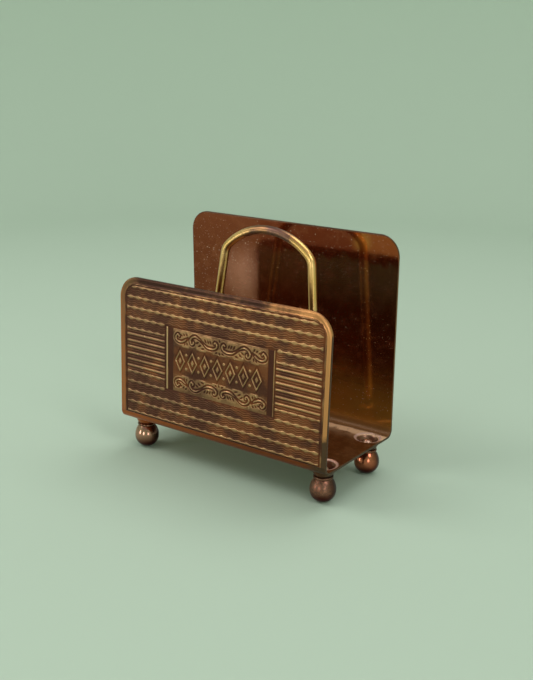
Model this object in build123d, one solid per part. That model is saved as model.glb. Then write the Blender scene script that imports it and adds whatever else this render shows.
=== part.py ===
"""Brass letter holder: a bent sheet with two plates, a wire handle between them and four ball feet.

Millimetres. X runs along the plates, the front plate faces -Y, Z is up. The origin is on the table,
under the middle of the sheet.
"""
from build123d import *
import math
import os

# Sheet
SHEET_WIDTH = 127.0
SHEET_DEPTH = 63.5          # over the outer faces of both plates, at the floor
SHEET_THICKNESS = 1.2
FRONT_HEIGHT = 76.8         # along the plate, from the underside of the floor
BACK_HEIGHT = 103.0
PLATE_LEAN = 1.5            # degrees, both plates lean inwards
BEND_RADIUS = 4.0           # outer radius of the two bends
FRONT_CORNER_RADIUS = 11.5
BACK_CORNER_RADIUS = 10.5
FLOOR_HEIGHT = 17.8         # underside of the floor above the table

# Embossed front: a sloping border round a raised field
FIELD_RISE = 0.85
EDGE_STRIP = 0.5            # flat strip between the plate's edge and the sloping border
BORDER_SIDE = 3.0           # width of the sloping border at the sides
BORDER_TOP = 2.4            # and along the top
FIELD_CORNER_RADIUS = 8.0
FIELD_FOOT_RADIUS = 0.5     # lower corners of the border
FIELD_BOTTOM = 0.6          # field's lower edge above the bend
BEAD_WIDTH = 0.5            # fine line round the field
BEAD_HEIGHT = 0.25

# Ridges on the field
RIDGE_WIDTH = 0.75
RIDGE_HEIGHT = 0.35
RIDGE_EMBED = 0.3           # how deep a ridge runs into the sheet
RIDGE_GAP = 1.5             # clear strip between the ridges and the bead
WAVE_PITCH = 5.15           # along X
WAVE_SWELL = 0.22           # how far each edge of a wavy ridge swings
WAVY_SPACING = 5.5
WAVY_START = 3.1            # from the outermost straight ridge to the first wavy one
STRAIGHT_SPACING = 3.35
STRAIGHT_COUNT = 6

# Plaque in the middle of the front
PLAQUE_WIDTH = 66.0
PLAQUE_HEIGHT = 32.4
PLAQUE_OFFSET = 0.8         # the stamp sits a little to the right
PLAQUE_FRAME = 0.9
PLAQUE_GAP = 1.3            # clear strip between the plaque's frame and the ridges
PANEL_MARGIN = 4.0          # plain strip between the frame and the panel at either end
PANEL_RISE = 0.3
LOZENGE_COUNT = 7
LOZENGE_WIDTH = 6.4
LOZENGE_HEIGHT = 11.0
LOZENGE_SPACING = 7.8
LOZENGE_LINE = 0.8

# Dimples in the floor that carry the feet
FOOT_INSET_END = 7.6        # foot axis to the sheet's end
FOOT_INSET_FACE = 11.05     # foot axis to the plate's outer face
DIMPLE_DEPTH = 4.2
DIMPLE_SEAT_RADIUS = 4.6    # where the seat's underside would meet the wall without its bend
DIMPLE_WALL_RUN = 1.5       # how far the wall leans out on its way up
DIMPLE_SEAT_BEND = 1.4      # bend radius on the underside, round the seat
DIMPLE_RIM_BEND = 2.2       # bend radius on the underside, at the floor
DIMPLE_LIP = 0.2            # flat lip outside the rim's bend

# Feet
BALL_RADIUS = 6.4
BALL_FLAT_RADIUS = 1.5      # worn flat that stands on the table
FOOT_NECK_RADIUS = 4.9
FOOT_RING_HEIGHT = 1.6
FOOT_GROOVE_DEPTH = 0.3
STUD_RADIUS = 1.6
FIT_CLEARANCE = 0.1         # radial, for studs, spigots and wire in their holes
FOOT_WASHER_RADIUS = 3.0
FOOT_WASHER_THICKNESS = 0.6
STUD_HEAD_RADIUS = 2.7
STUD_HEAD_RIM = 0.3         # upright edge of the peened head
STUD_HEAD_HEIGHT = 2.6

# Handle
WIRE_DIAMETER = 4.3
HANDLE_HEIGHT = 103.5       # top of the wire above the floor
HANDLE_SETBACK = 4.0        # plane of the handle behind the middle of the floor
LEG_SPACING = 70.8          # between leg axes at the floor
SHOULDER_SPACING = 51.8     # between the corners that the shoulder bends round off
SHOULDER_RADIUS = 8.5
CROWN_SLOPE = 40.7          # degrees, where the crown meets the shoulders
CROWN_FILL = 0.97           # share of the run between the shoulder bends that the crown's arc takes
HANDLE_SWAY = 4.1           # the arch stands this far to the right of the legs' middle
LEG_STUB = 7.0              # upright lowest part of each leg
LEG_BEND_RADIUS = 20.0
SPIGOT_RADIUS = 1.5
COLLAR_RADIUS = 5.0
COLLAR_TOP_RADIUS = 2.8
COLLAR_HEIGHT = 3.2
COLLAR_RIM = 0.7
LEG_WASHER_RADIUS = 4.0
LEG_WASHER_THICKNESS = 0.8
LEG_HEAD_RADIUS = 2.6
LEG_HEAD_END_RADIUS = 1.95
LEG_HEAD_HEIGHT = 1.1

# Places that follow from the sizes above
LEAN = math.radians(PLATE_LEAN)
FLOOR_TOP = FLOOR_HEIGHT + SHEET_THICKNESS
FOOT_X = SHEET_WIDTH / 2 - FOOT_INSET_END
FOOT_Y = SHEET_DEPTH / 2 - FOOT_INSET_FACE
SEAT_Z = FLOOR_HEIGHT - DIMPLE_DEPTH
BALL_Z = math.sqrt(BALL_RADIUS**2 - BALL_FLAT_RADIUS**2)
STUD_HOLE_RADIUS = STUD_RADIUS + FIT_CLEARANCE
SPIGOT_HOLE_RADIUS = SPIGOT_RADIUS + FIT_CLEARANCE
WIRE_RADIUS = WIRE_DIAMETER / 2
SIDES = {"left": -1, "right": 1}
ENDS = {"front": -1, "back": 1}

# Front plate's own frame: X along the plate, Y up the plate from the floor's underside, Z outwards
FRONT = Plane(
    origin=(0, -SHEET_DEPTH / 2, FLOOR_HEIGHT),
    x_dir=(1, 0, 0),
    z_dir=(0, -math.cos(LEAN), math.sin(LEAN)),
)
FIELD_X = SHEET_WIDTH / 2 - EDGE_STRIP - BORDER_SIDE
FIELD_LOW = BEND_RADIUS + FIELD_BOTTOM
FIELD_TOP = FRONT_HEIGHT - EDGE_STRIP - BORDER_TOP
FIELD_MIDDLE = (FIELD_LOW + FIELD_TOP) / 2
RIDGE_X = FIELD_X - BEAD_WIDTH - RIDGE_GAP
DIMPLE_TURN = math.atan2(DIMPLE_DEPTH, DIMPLE_WALL_RUN)
DIMPLE_WALL_TOP = DIMPLE_SEAT_RADIUS + DIMPLE_WALL_RUN
DIMPLE_RIM = DIMPLE_WALL_TOP + DIMPLE_RIM_BEND * math.tan(DIMPLE_TURN / 2) + DIMPLE_LIP


def place_foot(shape, side, end):
    """Move a shape made on the Z axis to one of the four foot axes."""
    return Pos(side * FOOT_X, end * FOOT_Y, 0) * shape


def turned(points):
    """Solid of revolution about Z from an outline of (radius, height) points."""
    outline = make_face(Plane.XZ * Polyline(*points, close=True))
    return revolve(outline, Axis.Z)


def bent_sheet():
    """Plain U of sheet with rounded upper corners."""
    front_low = (-SHEET_DEPTH / 2, FLOOR_HEIGHT)
    back_low = (SHEET_DEPTH / 2, FLOOR_HEIGHT)
    front_top = (
        front_low[0] + FRONT_HEIGHT * math.sin(LEAN),
        FLOOR_HEIGHT + FRONT_HEIGHT * math.cos(LEAN),
    )
    back_top = (
        back_low[0] - BACK_HEIGHT * math.sin(LEAN),
        FLOOR_HEIGHT + BACK_HEIGHT * math.cos(LEAN),
    )
    outer = FilletPolyline(front_top, front_low, back_low, back_top, radius=BEND_RADIUS)
    section = make_face(offset(outer, SHEET_THICKNESS, side=Side.LEFT))
    sheet = extrude(Plane.YZ * section, SHEET_WIDTH / 2, both=True)
    for end, radius in ((-1, FRONT_CORNER_RADIUS), (1, BACK_CORNER_RADIUS)):
        plate_top = sheet.faces().filter_by(lambda face: face.center().Y * end > 0).sort_by(Axis.Z)[-1]
        corners = plate_top.edges().sort_by(SortBy.LENGTH)[:2]
        sheet = fillet(corners, radius)
    return sheet


def front_outline(half_width, low, top, top_radius):
    """Rectangle on the front plate with rounded upper corners and small lower ones."""
    return FilletPolyline(
        (half_width, low),
        (half_width, top),
        (-half_width, top),
        (-half_width, low),
        radius=[FIELD_FOOT_RADIUS, top_radius, top_radius, FIELD_FOOT_RADIUS],
        close=True,
    )


def raised_field(level):
    """Raised field with its sloping border, standing on the given level of the front plate's frame."""
    foot = front_outline(
        FIELD_X + BORDER_SIDE, BEND_RADIUS, FIELD_TOP + BORDER_TOP, FRONT_CORNER_RADIUS - EDGE_STRIP
    )
    crest = front_outline(FIELD_X, FIELD_LOW, FIELD_TOP, FIELD_CORNER_RADIUS)
    foot_face = Pos(0, 0, level) * make_face(foot)
    crest_face = Pos(0, 0, level + FIELD_RISE) * make_face(crest)
    return FRONT * loft([foot_face, crest_face], ruled=True)


def on_field(face, height):
    """Raise a flat face, drawn on the front plate, to stand on the field."""
    base = Pos(0, 0, FIELD_RISE - RIDGE_EMBED) * face
    return FRONT * extrude(base, RIDGE_EMBED + height, dir=(0, 0, 1))


def bar(x_from, x_to, height):
    """Straight ridge across the field at a height up the plate."""
    return Pos((x_from + x_to) / 2, height) * Rectangle(x_to - x_from, RIDGE_WIDTH)


def wavy_bar(x_from, x_to, height):
    """Ridge whose two edges swell and narrow together along the plate."""
    steps = max(2, round((x_to - x_from) / WAVE_PITCH * 4))
    stations = [x_from + (x_to - x_from) * i / steps for i in range(steps + 1)]
    half = [
        RIDGE_WIDTH / 2 + WAVE_SWELL * math.cos(2 * math.pi * x / WAVE_PITCH) for x in stations
    ]
    upper = Spline(*[(x, height + w) for x, w in zip(stations, half)])
    lower = Spline(*[(x, height - w) for x, w in zip(stations, half)])
    return make_face([upper, lower, Line(upper @ 0, lower @ 0), Line(upper @ 1, lower @ 1)])


def clear_runs(height):
    """Stretches of the field at one height that the plaque leaves free for a ridge."""
    if abs(height - FIELD_MIDDLE) > PLAQUE_HEIGHT / 2 + PLAQUE_GAP:
        return [(-RIDGE_X, RIDGE_X)]
    clear = PLAQUE_WIDTH / 2 + PLAQUE_GAP
    return [(-RIDGE_X, PLAQUE_OFFSET - clear), (PLAQUE_OFFSET + clear, RIDGE_X)]


def ridges():
    """Straight ridges beside the plaque, and wavy ones above and below them up to the bead."""
    faces = []
    for i in range(STRAIGHT_COUNT):
        height = FIELD_MIDDLE + (i - (STRAIGHT_COUNT - 1) / 2) * STRAIGHT_SPACING
        faces += [bar(*run, height) for run in clear_runs(height)]
    first = (STRAIGHT_COUNT - 1) / 2 * STRAIGHT_SPACING + WAVY_START
    room = FIELD_TOP - BEAD_WIDTH - RIDGE_GAP - FIELD_MIDDLE - first
    for i in range(math.floor(room / WAVY_SPACING) + 1):
        for direction in (-1, 1):
            height = FIELD_MIDDLE + direction * (first + i * WAVY_SPACING)
            faces += [wavy_bar(*run, height) for run in clear_runs(height)]
    return [on_field(face, RIDGE_HEIGHT) for face in faces]


def bead():
    """Fine raised line round the field."""
    outer = make_face(front_outline(FIELD_X, FIELD_LOW, FIELD_TOP, FIELD_CORNER_RADIUS))
    inner = make_face(
        front_outline(
            FIELD_X - BEAD_WIDTH,
            FIELD_LOW + BEAD_WIDTH,
            FIELD_TOP - BEAD_WIDTH,
            FIELD_CORNER_RADIUS - BEAD_WIDTH,
        )
    )
    return on_field(outer - inner, BEAD_HEIGHT)


def plaque():
    """Framed panel with a row of upright lozenges."""
    middle = Pos(PLAQUE_OFFSET, FIELD_MIDDLE)
    rim = Rectangle(PLAQUE_WIDTH, PLAQUE_HEIGHT) - Rectangle(
        PLAQUE_WIDTH - 2 * PLAQUE_FRAME, PLAQUE_HEIGHT - 2 * PLAQUE_FRAME
    )
    panel = Rectangle(
        PLAQUE_WIDTH - 2 * (PLAQUE_FRAME + PANEL_MARGIN), PLAQUE_HEIGHT - 2 * PLAQUE_FRAME
    )
    pieces = [on_field(middle * rim, RIDGE_HEIGHT), on_field(middle * panel, PANEL_RISE)]
    for i in range(LOZENGE_COUNT):
        centre = middle * Pos((i - (LOZENGE_COUNT - 1) / 2) * LOZENGE_SPACING, 0)
        half_width = LOZENGE_WIDTH / 2
        half_height = LOZENGE_HEIGHT / 2
        outline = make_face(
            Polyline(
                (half_width, 0), (0, half_height), (-half_width, 0), (0, -half_height), close=True
            )
        )
        line = outline - offset(outline, -LOZENGE_LINE)
        pieces.append(on_field(centre * line, PANEL_RISE + RIDGE_HEIGHT))
    return pieces


def dimple():
    """Cup of sheet, open above, that hangs under the floor and carries one foot."""
    under = FilletPolyline(
        (STUD_HOLE_RADIUS, SEAT_Z),
        (DIMPLE_SEAT_RADIUS, SEAT_Z),
        (DIMPLE_WALL_TOP, FLOOR_HEIGHT),
        (DIMPLE_RIM, FLOOR_HEIGHT),
        radius=[DIMPLE_SEAT_BEND, DIMPLE_RIM_BEND],
    )
    section = make_face(Plane.XZ * offset(under, SHEET_THICKNESS, side=Side.LEFT))
    return revolve(section, Axis.Z)


def dimple_hole():
    """Round of floor that the dimple takes the place of."""
    return Pos(0, 0, FLOOR_HEIGHT) * Cylinder(
        DIMPLE_RIM, SHEET_THICKNESS, align=(Align.CENTER, Align.CENTER, Align.MIN)
    )


def letter_sheet():
    """The whole stamped sheet: plates, floor, front relief, dimples and handle holes."""
    sheet = bent_sheet() + raised_field(0) - raised_field(-SHEET_THICKNESS)
    sheet = sheet + ridges() + bead() + plaque()
    corners = [(side, end) for side in SIDES.values() for end in ENDS.values()]
    sheet = sheet - [place_foot(dimple_hole(), *corner) for corner in corners]
    between_ends = Pos(0, 0, FLOOR_HEIGHT) * Box(SHEET_WIDTH, SHEET_DEPTH, 2 * FLOOR_HEIGHT)
    sheet = sheet + [place_foot(dimple(), *corner) & between_ends for corner in corners]
    hole = Cylinder(
        SPIGOT_HOLE_RADIUS, SHEET_THICKNESS, align=(Align.CENTER, Align.CENTER, Align.MIN)
    )
    return sheet - [
        Pos(side * LEG_SPACING / 2, HANDLE_SETBACK, FLOOR_HEIGHT) * hole for side in SIDES.values()
    ]


def foot():
    """Turned pear-shaped foot with a neck ring, a stud and the stud's peened head."""
    ring_low = SEAT_Z - FOOT_RING_HEIGHT
    groove = FOOT_NECK_RADIUS - FOOT_GROOVE_DEPTH
    washer_top = SEAT_Z + SHEET_THICKNESS + FOOT_WASHER_THICKNESS
    head_edge = washer_top + STUD_HEAD_RIM
    head_top = washer_top + STUD_HEAD_HEIGHT
    belly = (BALL_RADIUS, BALL_Z)
    floor_cut = math.degrees(math.acos(BALL_FLAT_RADIUS / BALL_RADIUS))
    lower = CenterArc((0, BALL_Z), BALL_RADIUS, -floor_cut, floor_cut)
    upper = TangentArc(belly, (groove, ring_low), tangent=(0, 1))
    rest = Polyline(
        (groove, ring_low),
        (FOOT_NECK_RADIUS, ring_low + FOOT_GROOVE_DEPTH),
        (FOOT_NECK_RADIUS, SEAT_Z),
        (STUD_RADIUS, SEAT_Z),
        (STUD_RADIUS, washer_top),
        (STUD_HEAD_RADIUS, washer_top),
        (STUD_HEAD_RADIUS, head_edge),
    )
    dome = TangentArc((0, head_top), (STUD_HEAD_RADIUS, head_edge), tangent=(1, 0))
    axis = Polyline((0, head_top), (0, 0), (BALL_FLAT_RADIUS, 0))
    return revolve(Plane.XZ * make_face([lower, upper, rest, dome, axis]), Axis.Z)


def foot_washer():
    """Plain washer in the bottom of a dimple, round the stud."""
    low = SEAT_Z + SHEET_THICKNESS
    high = low + FOOT_WASHER_THICKNESS
    return turned(
        [
            (STUD_HOLE_RADIUS, low),
            (FOOT_WASHER_RADIUS, low),
            (FOOT_WASHER_RADIUS, high),
            (STUD_HOLE_RADIUS, high),
        ]
    )


def wire_handle():
    """Arched wire, with a spigot and a peened head at the foot of each leg."""
    slope = math.radians(CROWN_SLOPE)
    half_leg = LEG_SPACING / 2
    half_shoulder = SHOULDER_SPACING / 2
    stub_top = FLOOR_TOP + LEG_STUB
    apex = FLOOR_TOP + HANDLE_HEIGHT - WIRE_RADIUS
    # The crown's arc fills the run from one shoulder bend to the other
    leg_angle = math.atan2(HANDLE_HEIGHT - LEG_STUB, half_leg - half_shoulder)
    shoulder_tangent = SHOULDER_RADIUS * math.tan((leg_angle - slope) / 2)
    crown_tangent = CROWN_FILL * (half_shoulder / math.cos(slope) - shoulder_tangent)
    crown_radius = crown_tangent / math.tan(slope)
    peak = apex + crown_radius * (1 / math.cos(slope) - 1)
    shoulder = peak - half_shoulder * math.tan(slope)
    line = FilletPolyline(
        (-half_leg, FLOOR_TOP),
        (-half_leg, stub_top),
        (HANDLE_SWAY - half_shoulder, shoulder),
        (HANDLE_SWAY, peak),
        (HANDLE_SWAY + half_shoulder, shoulder),
        (half_leg, stub_top),
        (half_leg, FLOOR_TOP),
        radius=[LEG_BEND_RADIUS, SHOULDER_RADIUS, crown_radius, SHOULDER_RADIUS, LEG_BEND_RADIUS],
    )
    path = Plane.XZ.offset(-HANDLE_SETBACK) * line
    handle = sweep(Plane(path @ 0, z_dir=path % 0) * Circle(WIRE_RADIUS), path=path)
    washer_low = FLOOR_HEIGHT - LEG_WASHER_THICKNESS
    end = turned(
        [
            (0, FLOOR_TOP),
            (SPIGOT_RADIUS, FLOOR_TOP),
            (SPIGOT_RADIUS, washer_low),
            (LEG_HEAD_RADIUS, washer_low),
            (LEG_HEAD_END_RADIUS, washer_low - LEG_HEAD_HEIGHT),
            (0, washer_low - LEG_HEAD_HEIGHT),
        ]
    )
    return handle + [Pos(side * half_leg, HANDLE_SETBACK, 0) * end for side in SIDES.values()]


def handle_collar():
    """Flared collar on the floor round a leg."""
    bore = WIRE_RADIUS + FIT_CLEARANCE
    top = FLOOR_TOP + COLLAR_HEIGHT
    rim = FLOOR_TOP + COLLAR_RIM
    flare = ThreePointArc(
        (COLLAR_RADIUS, rim),
        ((COLLAR_RADIUS + 2 * COLLAR_TOP_RADIUS) / 3, (2 * rim + top) / 3),
        (COLLAR_TOP_RADIUS, top),
    )
    sides = Polyline(
        (COLLAR_TOP_RADIUS, top),
        (bore, top),
        (bore, FLOOR_TOP),
        (COLLAR_RADIUS, FLOOR_TOP),
        (COLLAR_RADIUS, rim),
    )
    return revolve(Plane.XZ * make_face([flare, sides]), Axis.Z)


def leg_washer():
    """Washer under the floor, held by a leg's peened head."""
    low = FLOOR_HEIGHT - LEG_WASHER_THICKNESS
    return turned(
        [
            (SPIGOT_HOLE_RADIUS, low),
            (LEG_WASHER_RADIUS, low),
            (LEG_WASHER_RADIUS, FLOOR_HEIGHT),
            (SPIGOT_HOLE_RADIUS, FLOOR_HEIGHT),
        ]
    )


os.makedirs("parts", exist_ok=True)
nodes = {"letter_sheet": letter_sheet(), "wire_handle": wire_handle()}
for side_name, side in SIDES.items():
    leg_axis = Pos(side * LEG_SPACING / 2, HANDLE_SETBACK, 0)
    nodes[f"handle_collar_{side_name}"] = leg_axis * handle_collar()
    nodes[f"handle_washer_{side_name}"] = leg_axis * leg_washer()
    for end_name, end in ENDS.items():
        nodes[f"foot_{end_name}_{side_name}"] = place_foot(foot(), side, end)
        nodes[f"foot_washer_{end_name}_{side_name}"] = place_foot(foot_washer(), side, end)
for name, shape in nodes.items():
    export_step(shape, f"parts/{name}.step")
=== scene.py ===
# %% [markdown]
# # A brass letter holder
# The holder is one sheet of brass bent to a U. Its low front is embossed, its tall back is plain and
# polished inside, an arched wire handle stands between them, and four turned ball feet carry the floor.
# This lesson dresses the measured solids: it makes smooth, detailed pieces in the same places and gives
# them aged metal finishes.

# %% Load the solids
import math

import bmesh
import bpy
import numpy as np
from mathutils import Matrix, Vector


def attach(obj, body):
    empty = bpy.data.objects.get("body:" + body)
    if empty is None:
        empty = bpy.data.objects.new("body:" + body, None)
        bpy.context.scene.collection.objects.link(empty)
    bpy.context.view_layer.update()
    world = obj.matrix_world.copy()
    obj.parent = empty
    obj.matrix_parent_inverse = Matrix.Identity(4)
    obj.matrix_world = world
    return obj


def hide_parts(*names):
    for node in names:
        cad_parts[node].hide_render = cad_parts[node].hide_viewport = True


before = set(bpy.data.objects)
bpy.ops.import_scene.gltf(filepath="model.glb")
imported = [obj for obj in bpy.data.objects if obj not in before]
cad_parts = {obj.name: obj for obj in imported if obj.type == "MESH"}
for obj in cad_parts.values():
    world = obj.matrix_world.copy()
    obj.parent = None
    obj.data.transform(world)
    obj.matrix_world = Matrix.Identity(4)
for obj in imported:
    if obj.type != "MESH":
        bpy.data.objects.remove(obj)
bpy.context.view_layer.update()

MM = 0.001
print("solids:", sorted(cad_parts))

# %% [markdown]
# ## The camera
# A camera is a place, a direction and a lens. The photograph was taken a little from the right and from
# above, close enough for the far corners to look smaller. The picture was cropped after it was taken, so
# the lens's axis does not go through its middle, and a small shift of the lens puts it back.

# %% Camera
PHOTO_WIDTH = 533
PHOTO_HEIGHT = 680
FOCAL_PIXELS = 963.55
LENS_AXIS_PIXEL = (254.7, 359.2)
CAMERA_AZIMUTH = math.radians(35.906)
CAMERA_ELEVATION = math.radians(17.73)
CAMERA_ROLL = math.radians(0.759)
CAMERA_DISTANCE = 0.4896
CAMERA_TARGET = Vector((0, 0, 0.05443))
SENSOR_WIDTH = 36


def add_camera():
    """Camera at the photograph's angle, with its roll and its shifted lens."""
    data = bpy.data.cameras.new("photo_camera")
    data.sensor_width = SENSOR_WIDTH
    data.lens = FOCAL_PIXELS * SENSOR_WIDTH / PHOTO_HEIGHT
    data.shift_x = (PHOTO_WIDTH / 2 - LENS_AXIS_PIXEL[0]) / PHOTO_HEIGHT
    data.shift_y = (LENS_AXIS_PIXEL[1] - PHOTO_HEIGHT / 2) / PHOTO_HEIGHT
    back = Vector((
        math.sin(CAMERA_AZIMUTH) * math.cos(CAMERA_ELEVATION),
        -math.cos(CAMERA_AZIMUTH) * math.cos(CAMERA_ELEVATION),
        math.sin(CAMERA_ELEVATION),
    ))
    right = Vector((math.cos(CAMERA_AZIMUTH), math.sin(CAMERA_AZIMUTH), 0))
    axes = Matrix((right, back.cross(right), back)).transposed().to_4x4()
    place = Matrix.Translation(CAMERA_TARGET + back * CAMERA_DISTANCE)
    camera = bpy.data.objects.new("photo_camera", data)
    camera.matrix_world = place @ axes @ Matrix.Rotation(CAMERA_ROLL, 4, "Z")
    bpy.context.scene.collection.objects.link(camera)
    bpy.context.scene.camera = camera
    return camera


camera = add_camera()
bpy.context.scene.view_settings.view_transform = "Standard"
print("lens", round(camera.data.lens, 2), "mm")

# %% [markdown]
# ## The studio
# Polished metal is mostly a picture of what stands round it. A flat floor under a bare sky would show a
# hard line in it, so the floor is a pale bowl whose rim curves up on all sides: every face has something
# calm to reflect, and the horizon stays soft. Large soft lamps hang above, and three small windows stand
# low in front, for clear highlights on the balls and the wire.

# %% Floor
FLOOR_COLOUR = (0.50, 0.61, 0.49)
FLOOR_RADIUS = 0.75
RIM_RADIUS = 0.35
RIM_HEIGHT = 0.45
RIM_STEP_DEGREES = 6
FLOOR_TURN_STEPS = 96
FLOOR_MERGE = 1e-6


def floor_finish():
    """Matt paper."""
    material = bpy.data.materials.new("studio_paper")
    material.use_nodes = True
    shader = material.node_tree.nodes["Principled BSDF"]
    shader.inputs["Base Color"].default_value = (*FLOOR_COLOUR, 1)
    shader.inputs["Roughness"].default_value = 1.0
    shader.inputs["Specular IOR Level"].default_value = 0.0
    return material


def spun(outline, steps, merge):
    """Spin an outline of (radius, height) points a full turn about the upright axis and close it."""
    bm = bmesh.new()
    verts = [bm.verts.new((r, 0, z)) for r, z in outline]
    edges = [bm.edges.new(pair) for pair in zip(verts, verts[1:])]
    bmesh.ops.spin(
        bm, geom=verts + edges, cent=(0, 0, 0), axis=(0, 0, 1),
        angle=2 * math.pi, steps=steps, use_merge=True,
    )
    bmesh.ops.remove_doubles(bm, verts=bm.verts, dist=merge)
    return bm


def add_mesh(bm, name, finishes):
    """Smooth object of a bmesh, with its finishes, in the scene."""
    mesh = bpy.data.meshes.new(name)
    bm.to_mesh(mesh)
    bm.free()
    mesh.shade_smooth()
    for finish in finishes:
        mesh.materials.append(finish)
    made = bpy.data.objects.new(name, mesh)
    bpy.context.scene.collection.objects.link(made)
    return made


def add_floor():
    """Flat disc whose rim curves up into a wall."""
    turns = [math.radians(a) for a in range(0, 91, RIM_STEP_DEGREES)]
    outline = [(0.0, 0.0)]
    outline += [(FLOOR_RADIUS + RIM_RADIUS * math.sin(a), RIM_RADIUS * (1 - math.cos(a))) for a in turns]
    outline.append((FLOOR_RADIUS + RIM_RADIUS, RIM_RADIUS + RIM_HEIGHT))
    bowl = spun(outline, FLOOR_TURN_STEPS, FLOOR_MERGE)
    floor = add_mesh(bowl, "studio_floor", [floor_finish()])


add_floor()
print("floor", FLOOR_RADIUS + RIM_RADIUS, "m to its wall")

# %% Lamps and sky
LAMPS = [
    ("left_softbox", (-0.75, -0.55, 0.95), (0.6, 0.6), 4.85),
    ("right_softbox", (0.9, -0.35, 0.85), (0.4, 0.6), 3.2),
    ("top_softbox", (0.1, 0.35, 1.2), (0.8, 0.8), 5),
    ("left_window", (-0.40, -0.59, 0.13), (0.10, 0.22), 0.5),
    ("middle_window", (0.04, -0.72, 0.13), (0.09, 0.22), 0.42),
    ("right_window", (0.56, -0.47, 0.13), (0.18, 0.18), 0.36),
]
SKY_STRENGTH = 0.32


def add_lamp(name, place, size, power):
    """Soft lamp that looks at the holder and is seen only as light and in reflections."""
    data = bpy.data.lights.new(name, "AREA")
    data.shape = "RECTANGLE"
    data.size, data.size_y = size
    data.energy = power
    lamp = bpy.data.objects.new(name, data)
    lamp.location = place
    lamp.rotation_euler = (CAMERA_TARGET - Vector(place)).to_track_quat("-Z", "Y").to_euler()
    lamp.visible_camera = False
    bpy.context.scene.collection.objects.link(lamp)


def add_sky(strength):
    """Even light from above the bowl's rim."""
    world = bpy.data.worlds.new("studio_sky")
    world.use_nodes = True
    sky = world.node_tree.nodes["Background"]
    sky.inputs["Color"].default_value = (1, 1, 1, 1)
    sky.inputs["Strength"].default_value = strength
    bpy.context.scene.world = world


for lamp in LAMPS:
    add_lamp(*lamp)
add_sky(SKY_STRENGTH)
print("studio with", len(LAMPS), "lamps")

# %% [markdown]
# ## Sizes
# These are the sizes of the real holder in millimetres. They could be measured on the solids, but as named
# values they say what they are, and the sheet's shape is worked out from them. The sheet leans inwards a
# little on both sides, so its bends turn slightly more than a right angle.

# %% Sheet sizes
SHEET_WIDTH = 127.0
SHEET_DEPTH = 63.5
SHEET_THICKNESS = 1.2
FRONT_HEIGHT = 76.8
BACK_HEIGHT = 103.0
LEAN = math.radians(1.5)
BEND_RADIUS = 4.0
BEND_TURN = math.pi / 2 + LEAN
BEND_TANGENT = BEND_RADIUS * math.tan(BEND_TURN / 2)
FLOOR_HEIGHT = 17.8
FLOOR_TOP = FLOOR_HEIGHT + SHEET_THICKNESS
FRONT_CORNER = 11.5
BACK_CORNER = 10.5
FOOT_X = 55.9
FOOT_Y = 20.7
FLOOR_FLAT = SHEET_DEPTH / 2 - BEND_TANGENT
BEND_LENGTH = BEND_RADIUS * BEND_TURN
FRONT_RUN = FLOOR_FLAT + BEND_LENGTH + FRONT_HEIGHT - BEND_TANGENT
BACK_RUN = FLOOR_FLAT + BEND_LENGTH + BACK_HEIGHT - BEND_TANGENT
print("sheet runs", round(FRONT_RUN, 1), "and", round(BACK_RUN, 1), "mm from the floor's middle")


# %% Section and corners of the sheet
def section(run):
    """Points (y, z) and outward normals of the sheet's outer face, at runs from the floor's middle."""
    side = np.sign(run)
    length = np.abs(run)
    turn = np.clip((length - FLOOR_FLAT) / BEND_RADIUS, 0, BEND_TURN)
    up = np.clip(length - FLOOR_FLAT - BEND_LENGTH, 0, None)
    y = side * (np.minimum(length, FLOOR_FLAT) + BEND_RADIUS * np.sin(turn) + up * np.cos(turn))
    z = FLOOR_HEIGHT + BEND_RADIUS * (1 - np.cos(turn)) + up * np.sin(turn)
    return y, z, side * np.sin(turn), -np.cos(turn)


def ease(value):
    """Smooth step from 0 to 1."""
    value = np.clip(value, 0, 1)
    return value * value * (3 - 2 * value)


def round_corner(x, s, half_width, top, radius):
    """Bend the corners of a grid, at its upper end, into arcs."""
    across = np.abs(x) - (half_width - radius)
    up = s - (top - radius)
    inside = (across > 0) & (up > 0)
    reach = np.maximum(across, up)
    shrink = np.where(inside, reach / np.maximum(np.hypot(across, up), 1e-9), 1)
    x = np.where(inside, np.sign(x) * (half_width - radius + across * shrink), x)
    s = np.where(inside, top - radius + up * shrink, s)
    return x, s


top_edges = section(np.array([-FRONT_RUN, BACK_RUN]))[1]
print("front and back are", top_edges.round(1), "mm high")

# %% [markdown]
# ## The bent sheet
# A flat plate could be bent by a modifier, but its dimples and its border would be bent with it. So one
# grid of faces makes the whole sheet. Its rows and columns are close together where the sheet bends, and
# the squares round each foot are drawn out into rings, so that the pressed dimples come out round. Each
# vertex then goes to its place on the U. Thickness is added last, by a Solidify modifier, as a press would
# keep it.

# %% Dimples
DIMPLE_DEPTH = 4.2
DIMPLE_SEAT = 3.4
DIMPLE_FOOT = 4.6
DIMPLE_WALL_TOP = 6.1
DIMPLE_RIM = 7.35
DIMPLE_BLOCK = 7.6
RING_SHARE = 0.88
# Share of the way from the middle to the rim, radius there, and share of the depth there.
DIMPLE_SECTION = [
    (0, 0, 1),
    (0.25, DIMPLE_SEAT, 1),
    (0.34, DIMPLE_FOOT - 0.25, 0.955),
    (0.42, DIMPLE_FOOT + 0.12, 0.85),
    (0.78, DIMPLE_WALL_TOP - 0.3, 0.19),
    (0.88, DIMPLE_WALL_TOP + 0.2, 0.06),
    (1, DIMPLE_RIM, 0),
]


def dimple_ring(share):
    """Radius and depth of the dimple's underside, share of the way from its middle to its rim."""
    shares, radii, depths = zip(*DIMPLE_SECTION)
    return np.interp(share, shares, radii), np.interp(share, shares, depths) * DIMPLE_DEPTH


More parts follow.
